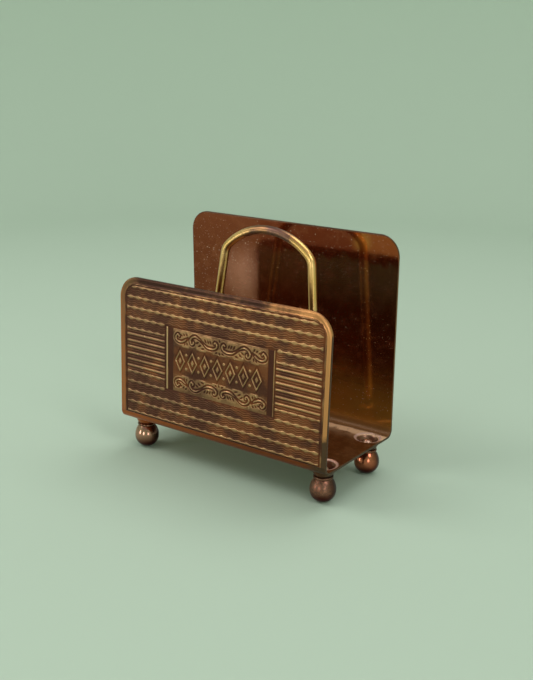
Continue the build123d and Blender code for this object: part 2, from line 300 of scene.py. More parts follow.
def press_dimple(x, run, foot_x, foot_y):
    """Draw the grid's block round a foot out into rings. Returns x, run and the depth pressed."""
    across = x - foot_x
    along = run - foot_y
    reach = np.maximum(np.abs(across), np.abs(along))
    inside = reach < DIMPLE_BLOCK - 1e-6
    far = np.maximum(np.hypot(across, along), 1e-9)
    share = reach / (DIMPLE_BLOCK * RING_SHARE)
    radius, depth = dimple_ring(np.clip(share, 0, 1))
    outer = np.clip((share - 1) / (1 / RING_SHARE - 1), 0, 1)
    ring_x = across / far * radius
    ring_y = along / far * radius
    new_x = np.where(inside, foot_x + ring_x + (across - ring_x) * outer, x)
    new_run = np.where(inside, foot_y + ring_y + (along - ring_y) * outer, run)
    return new_x, new_run, np.where(inside, depth, 0)


print("dimples", DIMPLE_DEPTH, "mm deep")

# %% Emboss of the front plate
FIELD_RISE = 0.85
FIELD_X = 60.0
FIELD_RIGHT = 61.6
FIELD_TOP = 73.9
EDGE_STRIP = 0.5
BORDER_SIDE = 3.0
BORDER_TOP = 2.4
BORDER_FOOT = 0.6
FIELD_SINK = 0.15


def field_end(x):
    """How far the field's end lies from the plate's middle. The die sits a little to the right."""
    return np.where(x > 0, FIELD_RIGHT, FIELD_X)


def emboss(x, s):
    """How far the sloping border and the plain ground of the field stand out of the front plate."""
    outer_x = FIELD_X + BORDER_SIDE
    side = outer_x - field_end(x)
    outer_top = FIELD_TOP + BORDER_TOP
    radius = FRONT_CORNER - EDGE_STRIP
    across = np.abs(x) - (outer_x - radius)
    up = s - (outer_top - radius)
    share = np.minimum((outer_x - np.abs(x)) / side, (outer_top - s) / BORDER_TOP)
    blend = np.arctan2(np.maximum(up, 0), np.maximum(across, 1e-9)) / (math.pi / 2)
    width = side + (BORDER_TOP - side) * blend
    corner = (radius - np.hypot(across, up)) / width
    share = np.where((across > 0) & (up > 0), corner, share)
    share = np.minimum(share, (s - BEND_TANGENT) / BORDER_FOOT)
    return (FIELD_RISE - FIELD_SINK) * ease(share)


print("front stands out by", round(FIELD_RISE - FIELD_SINK, 2), "mm")


# %% Rows and columns of the sheet
def stations(*stretches):
    """Places along a line: the start, then (end, steps) for each stretch."""
    places = [stretches[0]]
    for end, steps in stretches[1:]:
        places += list(np.linspace(places[-1], end, steps + 1)[1:])
    return np.array(places)


INNER_X = FOOT_X - DIMPLE_BLOCK
COLUMNS = stations(-SHEET_WIDTH / 2, (-INNER_X, 40), (INNER_X, 48), (SHEET_WIDTH / 2, 40))
PLATE_START = FLOOR_FLAT + BEND_LENGTH
TOP_STRIP = 4.4
FOOT_STRIP = 2.0
ROWS = stations(
    -FRONT_RUN,
    (-FRONT_RUN + TOP_STRIP, 14),
    (-FRONT_RUN + FRONT_CORNER, 10),
    (-PLATE_START - FOOT_STRIP, 30),
    (-PLATE_START, 10),
    (-FOOT_Y - DIMPLE_BLOCK, 12),
    (-FOOT_Y + DIMPLE_BLOCK, 40),
    (FOOT_Y - DIMPLE_BLOCK, 14),
    (FOOT_Y + DIMPLE_BLOCK, 40),
    (PLATE_START, 12),
    (BACK_RUN - BACK_CORNER, 44),
    (BACK_RUN, 20),
)
print("sheet grid", len(COLUMNS), "by", len(ROWS))


# %% Shape of the sheet
def flat_grid(columns, rows):
    """Grid of faces, and the column and the row of each of its vertices."""
    bm = bmesh.new()
    across, along = len(columns) - 1, len(rows) - 1
    bmesh.ops.create_grid(bm, x_segments=across, y_segments=along, size=1)
    flat = np.array([v.co for v in bm.verts])
    column = columns[np.rint((flat[:, 0] + 1) / 2 * across).astype(int)]
    row = rows[np.rint((flat[:, 1] + 1) / 2 * along).astype(int)]
    return bm, column, row


def shape_sheet(x, run):
    """Move the flat grid's points to their places on the bent sheet."""
    front_s = -run - FLOOR_FLAT - BEND_LENGTH + BEND_TANGENT
    back_s = run - FLOOR_FLAT - BEND_LENGTH + BEND_TANGENT
    x, front_s2 = round_corner(x, front_s, SHEET_WIDTH / 2, FRONT_HEIGHT, FRONT_CORNER)
    run = run - (front_s2 - front_s)
    x, back_s2 = round_corner(x, back_s, SHEET_WIDTH / 2, BACK_HEIGHT, BACK_CORNER)
    run = run + (back_s2 - back_s)
    depth = np.zeros_like(x)
    for foot_x in (-FOOT_X, FOOT_X):
        for foot_y in (-FOOT_Y, FOOT_Y):
            x, run, pressed = press_dimple(x, run, foot_x, foot_y)
            depth += pressed
    y, z, normal_y, normal_z = section(run)
    out = np.where(front_s2 > BEND_TANGENT, emboss(x, front_s2), 0)
    return np.stack([x, y + out * normal_y, z + out * normal_z - depth], axis=-1)


def bent_sheet():
    """The grid of the sheet's outer face."""
    bm, x, run = flat_grid(COLUMNS, ROWS)
    for vert, place in zip(bm.verts, shape_sheet(x, run)):
        vert.co = place
    bmesh.ops.recalc_face_normals(bm, faces=bm.faces)
    if sum(f.normal.z * f.calc_area() for f in bm.faces) > 0:
        bmesh.ops.reverse_faces(bm, faces=bm.faces)
    return bm


sheet = bent_sheet()
print("bent sheet of", len(sheet.faces), "faces")

# %% [markdown]
# ## The embossed front
# The field is full of engine-turned lines: bold ridges that swell and narrow like strings of lenses, fine
# wavy lines between them, and straight ones beside the framed plaque. A bump in the finish could draw them,
# but the real ones are pressed, so a fine grid lies over the field, and a formula gives each of its points
# a height. The same formula gives the crest, which says how high on the relief a point is, so that the
# finish can be bright on the crests and dark in the hollows.

# %% Wavy lines
RIDGE_WIDTH = 1.2
RIDGE_SWELL = 0.34
RIDGE_RISE = 0.32
RIDGE_CUT = 0.3
FINE_RISE = 0.13
FINE_SPACING = 1.1
WAVE_PITCH = 5.13
UPPER_PHASE = 1.94
LOWER_PHASE = 1.08
WAVY_SPACING = 5.5
WAVY_FLANK = 0.5
WAVY_FINE_CLEAR = 0.15
WAVY_FINE_FADE = 0.35
WAVY_FINE_CREST = 0.38
PLAQUE_X = 0.8
PLAQUE_REACH_LEFT = 33.0
PLAQUE_REACH_RIGHT = 33.9
PLAQUE_LEFT = PLAQUE_X - PLAQUE_REACH_LEFT
PLAQUE_RIGHT = PLAQUE_X + PLAQUE_REACH_RIGHT


def waves_at(x, up, height):
    """Swing of the wavy lines, from -1 to 1, and the height above the bold ridge that is next below."""
    gap = np.floor(height / WAVY_SPACING)
    phase = np.where(up > 0, UPPER_PHASE, LOWER_PHASE)
    return np.cos(2 * math.pi * x / WAVE_PITCH + phase + gap * math.pi), height - gap * WAVY_SPACING


def wavy_lines(x, up, height):
    """Rise and crest of the wavy zone at heights beyond its first bold ridge."""
    wave, offset = waves_at(x, up, height)
    lower_edge = offset - (RIDGE_WIDTH / 2 + RIDGE_SWELL * wave)
    upper_edge = WAVY_SPACING - offset - (RIDGE_WIDTH / 2 - RIDGE_SWELL * wave)
    beside = np.minimum(lower_edge, upper_edge)
    over_plaque = (x > PLAQUE_LEFT - RIDGE_CUT) & (x < PLAQUE_RIGHT + RIDGE_CUT)
    at_plaque = (np.rint(height / WAVY_SPACING) == 1) & over_plaque
    bold = np.where(at_plaque, 0, ease(0.5 - beside / WAVY_FLANK))
    fine = 0.5 + 0.5 * np.cos(2 * math.pi * (offset - RIDGE_SWELL * wave) / FINE_SPACING)
    fine = fine * np.where(at_plaque, 1, ease((beside - WAVY_FINE_CLEAR) / WAVY_FINE_FADE))
    return np.maximum(RIDGE_RISE * bold, FINE_RISE * fine), np.maximum(bold, WAVY_FINE_CREST * fine)


print("bold ridges", WAVY_SPACING, "mm apart, with waves of", WAVE_PITCH, "mm")

# %% Straight lines
STRAIGHT_SPACING = 3.35
STRAIGHT_COUNT = 6
STRAIGHT_NARROWING = 0.08
STRAIGHT_FINE_HALF = 0.16
STRAIGHT_FINE_CREST = 0.5
FLANK = 0.22


def hump(distance, half_width, soft=FLANK):
    """1 on a line, 0 beyond its half width, with soft flanks."""
    return ease((half_width + soft - np.abs(distance)) / (2 * soft))


def straight_lines(height):
    """Rise and crest of the straight zone at heights above the field's middle."""
    offset = height / STRAIGHT_SPACING + STRAIGHT_COUNT / 2 - 0.5
    off = (offset - np.rint(offset)) * STRAIGHT_SPACING
    bold = hump(off, RIDGE_WIDTH / 2 - STRAIGHT_NARROWING)
    fine = hump(np.abs(off) - STRAIGHT_SPACING / 2, STRAIGHT_FINE_HALF)
    return np.maximum(RIDGE_RISE * bold, FINE_RISE * fine), np.maximum(bold, STRAIGHT_FINE_CREST * fine)


print(STRAIGHT_COUNT, "straight ridges beside the plaque")

# %% All lines of the field
FIELD_LOW = 4.6
FIELD_MIDDLE = (FIELD_LOW + FIELD_TOP) / 2
WAVY_GAP = 3.1
WAVY_START = (STRAIGHT_COUNT - 1) / 2 * STRAIGHT_SPACING + WAVY_GAP
RIDGE_MARGIN_LEFT = 2.0
RIDGE_MARGIN_RIGHT = 1.7
RIDGE_END_FADE = 0.4
DIE_DROP = 0.05
DIE_DROP_START = 20.0
DIE_DROP_RUN = 10.0
DIE_DROP_LEFT = 0.33
DIE_TILT = 0.45
DIE_HALF_WIDTH = 57.0


def stamped_height(x, s):
    """Height above the field's middle in the die's own drawing, which sits a little low and tilted."""
    tilt = DIE_TILT * (x + DIE_HALF_WIDTH) / (2 * DIE_HALF_WIDTH)
    low = DIE_DROP + ease((s - DIE_DROP_START) / DIE_DROP_RUN) * (DIE_DROP_LEFT + tilt)
    return s - FIELD_MIDDLE + low


def field_lines(x, s):
    """Rise and crest of the engine-turned lines on the field."""
    up = stamped_height(x, s)
    height = np.abs(up)
    wavy_rise, wavy_crest = wavy_lines(x, up, height - WAVY_START)
    straight_rise, straight_crest = straight_lines(height)
    straight = height < WAVY_START - RIDGE_WIDTH / 2
    rise = np.where(straight, straight_rise, wavy_rise)
    crest = np.where(straight, straight_crest, wavy_crest)
    margin = np.where(x > 0, RIDGE_MARGIN_RIGHT, RIDGE_MARGIN_LEFT)
    ends = ease((field_end(x) - margin - np.abs(x)) / RIDGE_END_FADE + 0.5)
    return rise * ends, crest * ends


def follow_waves(x, s):
    """How far each place of a straight row moves, for the row to run along the wavy lines."""
    up = stamped_height(x, s)
    height = np.abs(up) - WAVY_START
    wave, offset = waves_at(x, up, height)
    share = np.clip(np.minimum(offset, WAVY_SPACING - offset) / (RIDGE_WIDTH / 2), 0, 1)
    inside = np.clip(np.minimum(FIELD_TOP - s, s - FIELD_LOW), 0, 1) * (height > -RIDGE_WIDTH / 2)
    return np.sign(up) * RIDGE_SWELL * wave * share * inside


print("field", round(FIELD_X + FIELD_RIGHT, 1), "mm wide")

# %% [markdown]
# ## Scrolls of the plaque
# Above and below the middle row runs a frieze of scrolls: an S with a curl at each end, and a C at the
# outer end, mirrored about the plaque's middle. Bent tubes could be laid on the plate, but the real ones
# are pressed with it, so each scroll is a smooth curve through a few points, and the distance from it gives
# the height: a raised rib follows the curve and sunk grooves run on both of the rib's sides.

# %% Scroll curves
S_SCROLL = [(3.15, 0.85), (2.65, 1.35), (1.85, 0.95), (1.6, 0.1), (1.95, -1.0), (3.25, -1.8), (5.1, -2.15),
            (7.3, -1.95), (9.2, -1.0), (10.8, 0.15), (12.3, 1.15), (14.5, 2.1), (16.2, 1.85), (17.5, 0.9),
            (18.15, -0.4), (17.7, -1.7), (16.9, -2.15), (16.1, -1.55), (16.2, -0.8)]
C_SCROLL = [(25.1, 0.7), (25.7, 1.5), (26.4, 1.3), (27.2, 0.1), (26.9, -1.15), (25.5, -1.95), (23.8, -2.0),
            (22.2, -1.4), (20.7, -0.35), (19.6, 0.3)]
PELLETS = [(23.9, 2.3), (14.6, -0.15)]
LEAF_STROKES = [((5.2, 0.2), (6.0, 1.7)), ((6.6, 0.1), (7.5, 1.8)), ((8.2, 0.2), (9.3, 1.9)),
                ((9.4, -2.9), (11.2, -3.4)), ((11.5, -1.5), (13.1, -2.6)), ((12.9, -0.3), (14.4, -1.3)),
                ((20.1, 1.6), (20.9, 2.7)), ((21.7, 1.3), (22.5, 2.2)), ((23.2, 0.9), (24.0, 1.5)),
                ((20.3, -1.9), (20.2, -3.2)), ((21.6, -2.3), (21.8, -3.4)),
                ((0.0, -3.1), (0.0, -4.3)), ((1.5, -3.2), (2.4, -3.9)), ((0.0, 2.2), (0.0, 3.1))]
CURVE_STEPS = 6


def smooth_curve(points):
    """Points of a smooth curve through the given ones."""
    knots = np.array([points[0], *points, points[-1]], float)
    share = np.linspace(0, 1, CURVE_STEPS, endpoint=False)[:, None]
    spans = []
    for a, b, c, d in zip(knots, knots[1:], knots[2:], knots[3:]):
        bend = 2 * a - 5 * b + 4 * c - d
        twist = 3 * (b - c) + d - a
        spans.append(b + 0.5 * share * (c - a + share * (bend + share * twist)))
    return np.concatenate([*spans, knots[-1:]])


def line_distance(u, w, points):
    """Distance from each place to a line of points, and how far along, 0 to 1, its nearest point is."""
    nearest = np.full(u.shape, 1e9)
    along = np.zeros(u.shape)
    count = len(points) - 1
    for i in range(count):
        (ax, ay), (bx, by) = points[i], points[i + 1]
        dx, dy = bx - ax, by - ay
        share = np.clip(((u - ax) * dx + (w - ay) * dy) / (dx * dx + dy * dy + 1e-9), 0, 1)
        far = np.hypot(u - ax - share * dx, w - ay - share * dy)
        closer = far < nearest
        nearest = np.where(closer, far, nearest)
        along = np.where(closer, (i + share) / count, along)
    return nearest, along


print("scrolls through", len(S_SCROLL), "and", len(C_SCROLL), "points")

# %% Heights of a frieze
PANEL_RISE = 0.22
RIB_RISE = 0.5
RIB_CREST = 1.14
RIB_HALF_WIDTH = 0.36
RIB_SOFT = 0.2
RIB_TAPER = 0.12
RIB_FADE = 0.08
C_RIB_END = 0.93
GROOVE_WIDTH = 0.82
GROOVE_DEPTH = 1.3
LEAF_WIDTH = 0.2
LEAF_SWELL = 0.28
LEAF_SOFT = 0.18
FRIEZE_PELLET = 0.35
GROUND_REACH = 1.75
GROUND_SOFT = 0.8
OUTER_START = 2.2
OUTER_SOFT = 1.2


def frieze(u, w):
    """Rise and crest of one half of a frieze, u from the plaque's middle and w up from the frieze's."""
    scroll_far = np.full(u.shape, 1e9)
    rib = np.zeros(u.shape)
    groove = np.zeros(u.shape)
    for points in (S_SCROLL, C_SCROLL):
        far, along = line_distance(u, w, smooth_curve(points))
        from_end = np.abs(along - 0.5) if points is S_SCROLL else np.clip(C_RIB_END - along, 0, 1)
        width = RIB_HALF_WIDTH * ease(from_end / RIB_TAPER)
        rib = np.maximum(rib, hump(far, width, RIB_SOFT) * ease(from_end / RIB_FADE))
        groove = np.maximum(groove, hump(far, width + GROOVE_WIDTH, RIB_SOFT))
        scroll_far = np.minimum(scroll_far, far)
    for start, end in LEAF_STROKES:
        far, along = line_distance(u, w, [start, end])
        groove = np.maximum(groove, hump(far, LEAF_WIDTH + LEAF_SWELL * np.sin(math.pi * along), LEAF_SOFT))
        scroll_far = np.minimum(scroll_far, far)
    for pellet_u, pellet_w in PELLETS:
        rib = np.maximum(rib, hump(np.hypot(u - pellet_u, w - pellet_w), FRIEZE_PELLET, RIB_SOFT))
    ground = ease((GROUND_REACH - scroll_far) / GROUND_SOFT + 0.5)
    outer = ease((w - OUTER_START) / OUTER_SOFT)
    level = PANEL_RISE * (0.65 + 0.35 * ground) * (1 - GROOVE_DEPTH * groove)
    crest = (0.30 + 0.38 * ground + 0.22 * outer * (1 - ground)) * (1 - groove)
    return np.maximum(level, RIB_RISE * rib), np.maximum(crest, RIB_CREST * rib)


print("ribs of the frieze", RIB_RISE, "mm high")

# %% Heights of the middle row
LOZENGE_COUNT = 7
LOZENGE_SPACING = 7.8
LOZENGE_HALF_WIDTH = 3.2
LOZENGE_HALF_HEIGHT = 5.75
LOZENGE_LINE = 0.8
LINE_NARROWING = 0.08
LINE_CREST = 1.1
FACE_SOFT = 0.3
HEART_INSET = 1.75
HEART_SOFT = 0.35
HEART_CREST = 0.8
HEART_RISE = 0.35
SHADE_REACH = 0.9
SHADE_SOFT = 0.4
PELLET_HEIGHT = 3.6
PELLET_RADIUS = 0.75


def lozenges(u, w):
    """Rise and crest of the row of upright lozenges in the plaque's middle, with pellets between them."""
    cell = np.clip(np.rint(u / LOZENGE_SPACING), -(LOZENGE_COUNT // 2), LOZENGE_COUNT // 2)
    across = np.abs(u - cell * LOZENGE_SPACING)
    slope = math.hypot(LOZENGE_HALF_WIDTH, LOZENGE_HALF_HEIGHT)
    inside = (
        LOZENGE_HALF_WIDTH * LOZENGE_HALF_HEIGHT
        - across * LOZENGE_HALF_HEIGHT - np.abs(w) * LOZENGE_HALF_WIDTH
    ) / slope
    line = hump(inside - LOZENGE_LINE / 2, LOZENGE_LINE / 2 - LINE_NARROWING, RIB_SOFT)
    face = ease((inside - LOZENGE_LINE) / FACE_SOFT)
    heart = ease((inside - HEART_INSET) / HEART_SOFT)
    gap = np.rint(u / LOZENGE_SPACING - 0.5) + 0.5
    pellet_far = np.hypot(u - gap * LOZENGE_SPACING, np.abs(w) - PELLET_HEIGHT)
    in_gap = (np.abs(gap) < LOZENGE_COUNT / 2) * hump(pellet_far, PELLET_RADIUS)
    shade = np.maximum(face, ease((SHADE_REACH + inside) / SHADE_SOFT) * (1 - line))
    level = PANEL_RISE * 0.6 * (1 - shade)
    crest = 0.2 * (1 - shade)
    return (
        np.maximum(np.maximum(level, RIB_RISE * line), HEART_RISE * np.maximum(heart, in_gap)),
        np.maximum(np.maximum(crest, LINE_CREST * line), np.maximum(HEART_CREST * heart, in_gap)),
    )


print("row of", LOZENGE_COUNT, "lozenges")

# %% Heights of the whole plaque
FRIEZE_HEIGHT = 11.85
FRIEZE_MIDDLE = 1.1
PLAQUE_LIFT = 0.55
ROW_MARGIN = 4.4
ROW_SOFT = 0.4
PANEL_MIDDLE = 0.85
PANEL_HALF_WIDTH = 29.1
PANEL_SOFT = 0.6
STRIP_CREST = -0.15
LEFT_BAR = 31.8
LEFT_BAR_HALF = 0.5
RIGHT_BAR = 33.15
RIGHT_BAR_HALF = 0.25
RIGHT_BAR_SHARE = 0.65
BAR_CREST = 1.32


def plaque(x, s):
    """Rise and crest inside the plaque's outline."""
    u = x - PLAQUE_X
    w = stamped_height(x, s) - PLAQUE_LIFT
    frieze_rise, frieze_crest = frieze(np.abs(u - FRIEZE_MIDDLE), np.abs(w) - FRIEZE_HEIGHT)
    row_rise, row_crest = lozenges(u, w)
    in_row = ease((FRIEZE_HEIGHT - ROW_MARGIN - np.abs(w)) / ROW_SOFT)
    rise = frieze_rise + (row_rise - frieze_rise) * in_row
    crest = frieze_crest + (row_crest - frieze_crest) * in_row
    panel = ease((PANEL_HALF_WIDTH - np.abs(u - PANEL_MIDDLE)) / PANEL_SOFT)
    right_bar = RIGHT_BAR_SHARE * hump(u - RIGHT_BAR, RIGHT_BAR_HALF)
    bars = np.maximum(hump(u + LEFT_BAR, LEFT_BAR_HALF), right_bar)
    crest = np.where(bars > 0.01, BAR_CREST * bars, crest * panel + STRIP_CREST * (1 - panel))
    return np.maximum(rise * panel, RIDGE_RISE * bars), crest


print("plaque", round(PLAQUE_RIGHT - PLAQUE_LEFT, 1), "mm wide")

# %% [markdown]
# ## Grids of the relief
# One grid could carry the whole front, but the scrolls need finer steps than the lines, so the field and
# the plaque are two grids. The field's rows run along its wavy lines, which keeps the crests smooth. The
# plaque lies on the field, as the die's insert pressed it, and the rim of each grid is sunk into the sheet
# behind it.

# %% Relief of the field
FIELD_CORNER = 8.0
BEAD_WIDTH = 0.7
BEAD_RISE = 0.3
BEAD_CREST = 0.8
BEAD_SOFT = 0.2
BEAD_INSET = 0.1
BEAD_CLEAR = 0.3
QUIET_SOFT = 0.4
PLAQUE_CLEAR = 0.5
PLAQUE_SOFT = 0.3
RIM_SINK = 0.3
SINK_START = 0.2
PLAQUE_HALF_HEIGHT = 16.2
PLAQUE_DROP = 0.15
PLAQUE_GAP = 0.3
PLAQUE_MIDDLE = FIELD_MIDDLE - PLAQUE_DROP


def plaque_edge(x, s):
    """Signed distance to the plaque's outline, negative inside."""
    across = np.maximum(x - PLAQUE_RIGHT, PLAQUE_LEFT - x)
    return np.maximum(across, np.abs(s - PLAQUE_MIDDLE) - PLAQUE_HALF_HEIGHT)


def bead_line(x, s):
    """Rise and crest of the worn bead inside the border, and how far in from the border each place is."""
    across = np.abs(x) - (field_end(x) - FIELD_CORNER)
    up = s - (FIELD_TOP - FIELD_CORNER)
    corner = FIELD_CORNER - np.hypot(across, up)
    inward = np.minimum(field_end(x) - np.abs(x), FIELD_TOP - s)
    inward = np.where((across > 0) & (up > 0), corner, inward)
    worn = 0.62 + 0.2 * np.sin(0.31 * x + 0.23 * s) + 0.18 * np.sin(1.13 * x + 0.71 * s + 1)
    bead = hump(inward - BEAD_WIDTH / 2 - BEAD_INSET, BEAD_WIDTH / 2 - BEAD_INSET, BEAD_SOFT) * worn
    return BEAD_RISE * bead, BEAD_CREST * bead, np.minimum(inward, s - FIELD_LOW + QUIET_SOFT)


def field_relief(x, s):
    """Rise and crest of the field, sunk where the plaque covers it."""
    rise, crest = field_lines(x, s)
    edge = plaque_edge(x, s)
    beside = np.abs(s - PLAQUE_MIDDLE) < PLAQUE_HALF_HEIGHT
    clear = ease((edge - np.where(beside, PLAQUE_GAP, PLAQUE_CLEAR)) / PLAQUE_SOFT)
    bead_rise, bead_crest, inward = bead_line(x, s)
    quiet = ease((inward - BEAD_WIDTH - BEAD_CLEAR) / QUIET_SOFT) * clear
    rise = np.maximum(rise * quiet, bead_rise) - RIM_SINK * ease((-SINK_START - edge) / SINK_START)
    return rise, np.maximum(crest * quiet, bead_crest)


print("bead", BEAD_RISE, "mm high")

# %% Grids over the front
END_STRIP = 3.0
FIELD_COLUMNS = stations(
    -FIELD_X,
    (END_STRIP - FIELD_X, 10),
    (FIELD_RIGHT - END_STRIP, 183),
    (FIELD_RIGHT, 10),
)
FIELD_ROWS = stations(FIELD_LOW, (FIELD_TOP, 365))
PLAQUE_COLUMNS = stations(PLAQUE_LEFT, (PLAQUE_RIGHT, 404))
PLAQUE_ROWS = stations(PLAQUE_MIDDLE - PLAQUE_HALF_HEIGHT, (PLAQUE_MIDDLE + PLAQUE_HALF_HEIGHT, 216))


def relief_grid(columns, rows, heights, corner=0, waves=None):
    """Grid over a part of the front, raised by its heights, with its rim sunk and closed behind."""
    bm, x, s = flat_grid(columns, rows)
    if corner:
        x, s = round_corner(x, s, np.where(x > 0, columns[-1], -columns[0]), rows[-1], corner)
    if waves:
        s = s + waves(x, s)
    rise, crest = heights(x, s)
    rim = np.array([v.is_boundary for v in bm.verts])
    out = FIELD_RISE + np.where(rim, -RIM_SINK, rise)
    y = -SHEET_DEPTH / 2 + s * math.sin(LEAN) - out * math.cos(LEAN)
    z = FLOOR_HEIGHT + s * math.cos(LEAN) + out * math.sin(LEAN)
    layer = bm.verts.layers.float.new("crest")
    for vert, place, value in zip(bm.verts, np.stack([x, y, z], axis=-1), crest):
        vert.co = place
        vert[layer] = value
    bmesh.ops.contextual_create(bm, geom=[e for e in bm.edges if e.is_boundary])
    bmesh.ops.recalc_face_normals(bm, faces=bm.faces)
    return bm


print("field grid", len(FIELD_COLUMNS), "by", len(FIELD_ROWS))
print("plaque grid", len(PLAQUE_COLUMNS), "by", len(PLAQUE_ROWS))

# %% [markdown]
# ## Wires
# A material is a graph of nodes. Its nodes and links could be added one by one, but then the sum that they
# stand for is hard to see. Written as plain Python sums it stays readable: each `Wire` holds one socket,
# and adding or multiplying wires adds the Math nodes. One method makes every other kind of node.


# %% A socket that understands sums
class Wire:
    """One output socket in a material's node tree."""

    def __init__(self, tree, socket=None):
        self.tree = tree
        self.socket = socket

    def node(self, kind, settings=None, sockets=None, output=0):
        """Add a node: its settings first, then the values or wires of its sockets."""
        made = self.tree.nodes.new(kind)
        for name, value in (settings or {}).items():
            setattr(made, name, value)
        for name, value in (sockets or {}).items():
            if isinstance(value, Wire):
                self.tree.links.new(value.socket, made.inputs[name])
            else:
                made.inputs[name].default_value = value
        return Wire(self.tree, made.outputs[output])

    def math(self, operation, first, second):
        """Math node on two values."""
        return self.node("ShaderNodeMath", {"operation": operation}, {0: first, 1: second})

    def __add__(self, other):
        return self.math("ADD", self, other)

    __radd__ = __add__

    def __mul__(self, other):
        return self.math("MULTIPLY", self, other)

    __rmul__ = __mul__

    def __sub__(self, other):
        return self.math("SUBTRACT", self, other)

    def __rsub__(self, other):
        return self.math("SUBTRACT", other, self)

    def __truediv__(self, other):
        return self.math("DIVIDE", self, other)

    def __rtruediv__(self, other):
        return self.math("DIVIDE", other, self)

    def axes(self):
        """Wires of the X, Y and Z of these coordinates."""
        parts = self.node("ShaderNodeSeparateXYZ", None, {0: self}).socket.node
        return [Wire(self.tree, part) for part in parts.outputs]

    def distance(self, point):
        """Distance of these coordinates from a point."""
        return self.node("ShaderNodeVectorMath", {"operation": "DISTANCE"}, {0: self, 1: point}, "Value")

    def step(self, low, high):
        """0 below low, 1 above high, smooth between. Low may be the larger one."""
        settings = {"interpolation_type": "SMOOTHSTEP"}
        return self.node("ShaderNodeMapRange", settings, {0: self, 1: low, 2: high, 3: 0.0, 4: 1.0})

    def mix(self, first, second):
        """Colour from first to second as this wire goes from 0 to 1."""
        first, second = [c if isinstance(c, Wire) else (*c, 1) for c in (first, second)]
        return self.node("ShaderNodeMix", {"data_type": "RGBA"}, {0: self, 6: first, 7: second}, 2)

    def noise(self, size_mm, detail=3.0, stretch=(1, 1, 1)):
        """Cloudy value about 0.5, with clouds of about the given size, on these coordinates."""
        place = self.node("ShaderNodeMapping", None, {"Vector": self, "Scale": stretch})
        values = {"Vector": place, "Scale": 1 / (size_mm * MM), "Detail": detail}
        return self.node("ShaderNodeTexNoise", None, values)


print("wires know", [name for name in vars(Wire) if not name.startswith("_")])


# %% Finish helpers
def new_finish(name):
    """A metal material. Returns it, a wire of its object coordinates and its shader node."""
    material = bpy.data.materials.new(name)
    material.use_nodes = True
    shader = material.node_tree.nodes["Principled BSDF"]
    shader.inputs["Metallic"].default_value = 1.0
    place = Wire(material.node_tree).node("ShaderNodeTexCoord", output="Object")
    return material, place, shader


def feed(shader, **wires):
    """Link wires to the shader's sockets, whose names are written with _ for a space."""
    for name, wire in wires.items():
        wire.tree.links.new(wire.socket, shader.inputs[name.replace("_", " ")])


def bump(height, depth_mm, strength):
    """Normal of a surface whose height goes from 0 to 1 over the given depth."""
    values = {"Strength": strength, "Distance": depth_mm * MM, "Height": height}
    return height.node("ShaderNodeBump", None, values)


def counted(material):
    """Print how many nodes a finish has, and hand it on."""
    print(material.name, len(material.node_tree.nodes), "nodes")
    return material


# %% [markdown]
# ## Finishes of the sheet
# Old brass is bright where hands and cloths reach it and brown where they do not. One colour with a little
# noise would look cast and new. So the embossed front goes from brown hollows to golden crests by the
# relief's own height, and clouds of noise keep it uneven. The plain outside changes from copper to gilt
# along the plate, and a painted copper glow of warm reflections lies on its left end and its bottom bend.
# The inside is polished almost to a mirror and has tarnished to warm browns; painted reflections lie on
# it, and painted highlights run along the back bend and round the dimples' lips. The top edges are painted
# dark as shade. Pairs of numbers such as `GILT_X` say where one colour ends and the next has taken
# over, in metres on the holder.

# %% Embossed front
HOLLOW_PLUM = (0.080, 0.029, 0.019)
HOLLOW_RUST = (0.166, 0.051, 0.021)
CREST_TAN = (0.31, 0.168, 0.090)
CREST_GOLD = (0.50, 0.270, 0.122)
BARE_SPECK = (0.86, 0.53, 0.28)


def embossed_brass():
    """Golden crests over plum and rust brown hollows, brighter to the right, where hands rub most."""
    material, place, shader = new_finish("embossed_brass")
    crest = place.node("ShaderNodeAttribute", {"attribute_name": "crest"}, output="Fac")
    across, _, height = place.axes()
    clouds = place.noise(15)
    patches = place.noise(6, 3, (0.6, 1, 1))
    grain = place.noise(0.8, 3)
    specks = place.noise(1.3, 1).step(0.71, 0.76)
    rubbed_and_glare = (across * 6 + height * 5 + 1.6 * (clouds - 0.5)).step(-0.35, 0.85)
    polish = (patches + 0.35 * (clouds - 0.5)).step(0.36, 0.64)
    sunk = 2 * place.math("MINIMUM", crest, 0.0)
    rust = (clouds + 0.7 * (patches - 0.5) + 1.5 * across + sunk).step(0.42, 0.66)
    hollow = rust.mix(HOLLOW_PLUM, HOLLOW_RUST)
    bare = place.math("MAXIMUM", specks, crest.step(1.0, 1.6))
    gold = bare.mix(rubbed_and_glare.mix(CREST_TAN, CREST_GOLD), BARE_SPECK)
    worn = (crest * (0.74 + 0.42 * polish) + 0.28 * (grain - 0.5)).step(0.06, 1.0)
    feed(
        shader,
        Base_Color=worn.mix(hollow, gold),
        Roughness=0.45 - 0.13 * worn + 0.14 * (grain - 0.5),
        Normal=bump(grain, 0.05, 0.6),
    )
    return material


embossed = counted(embossed_brass())

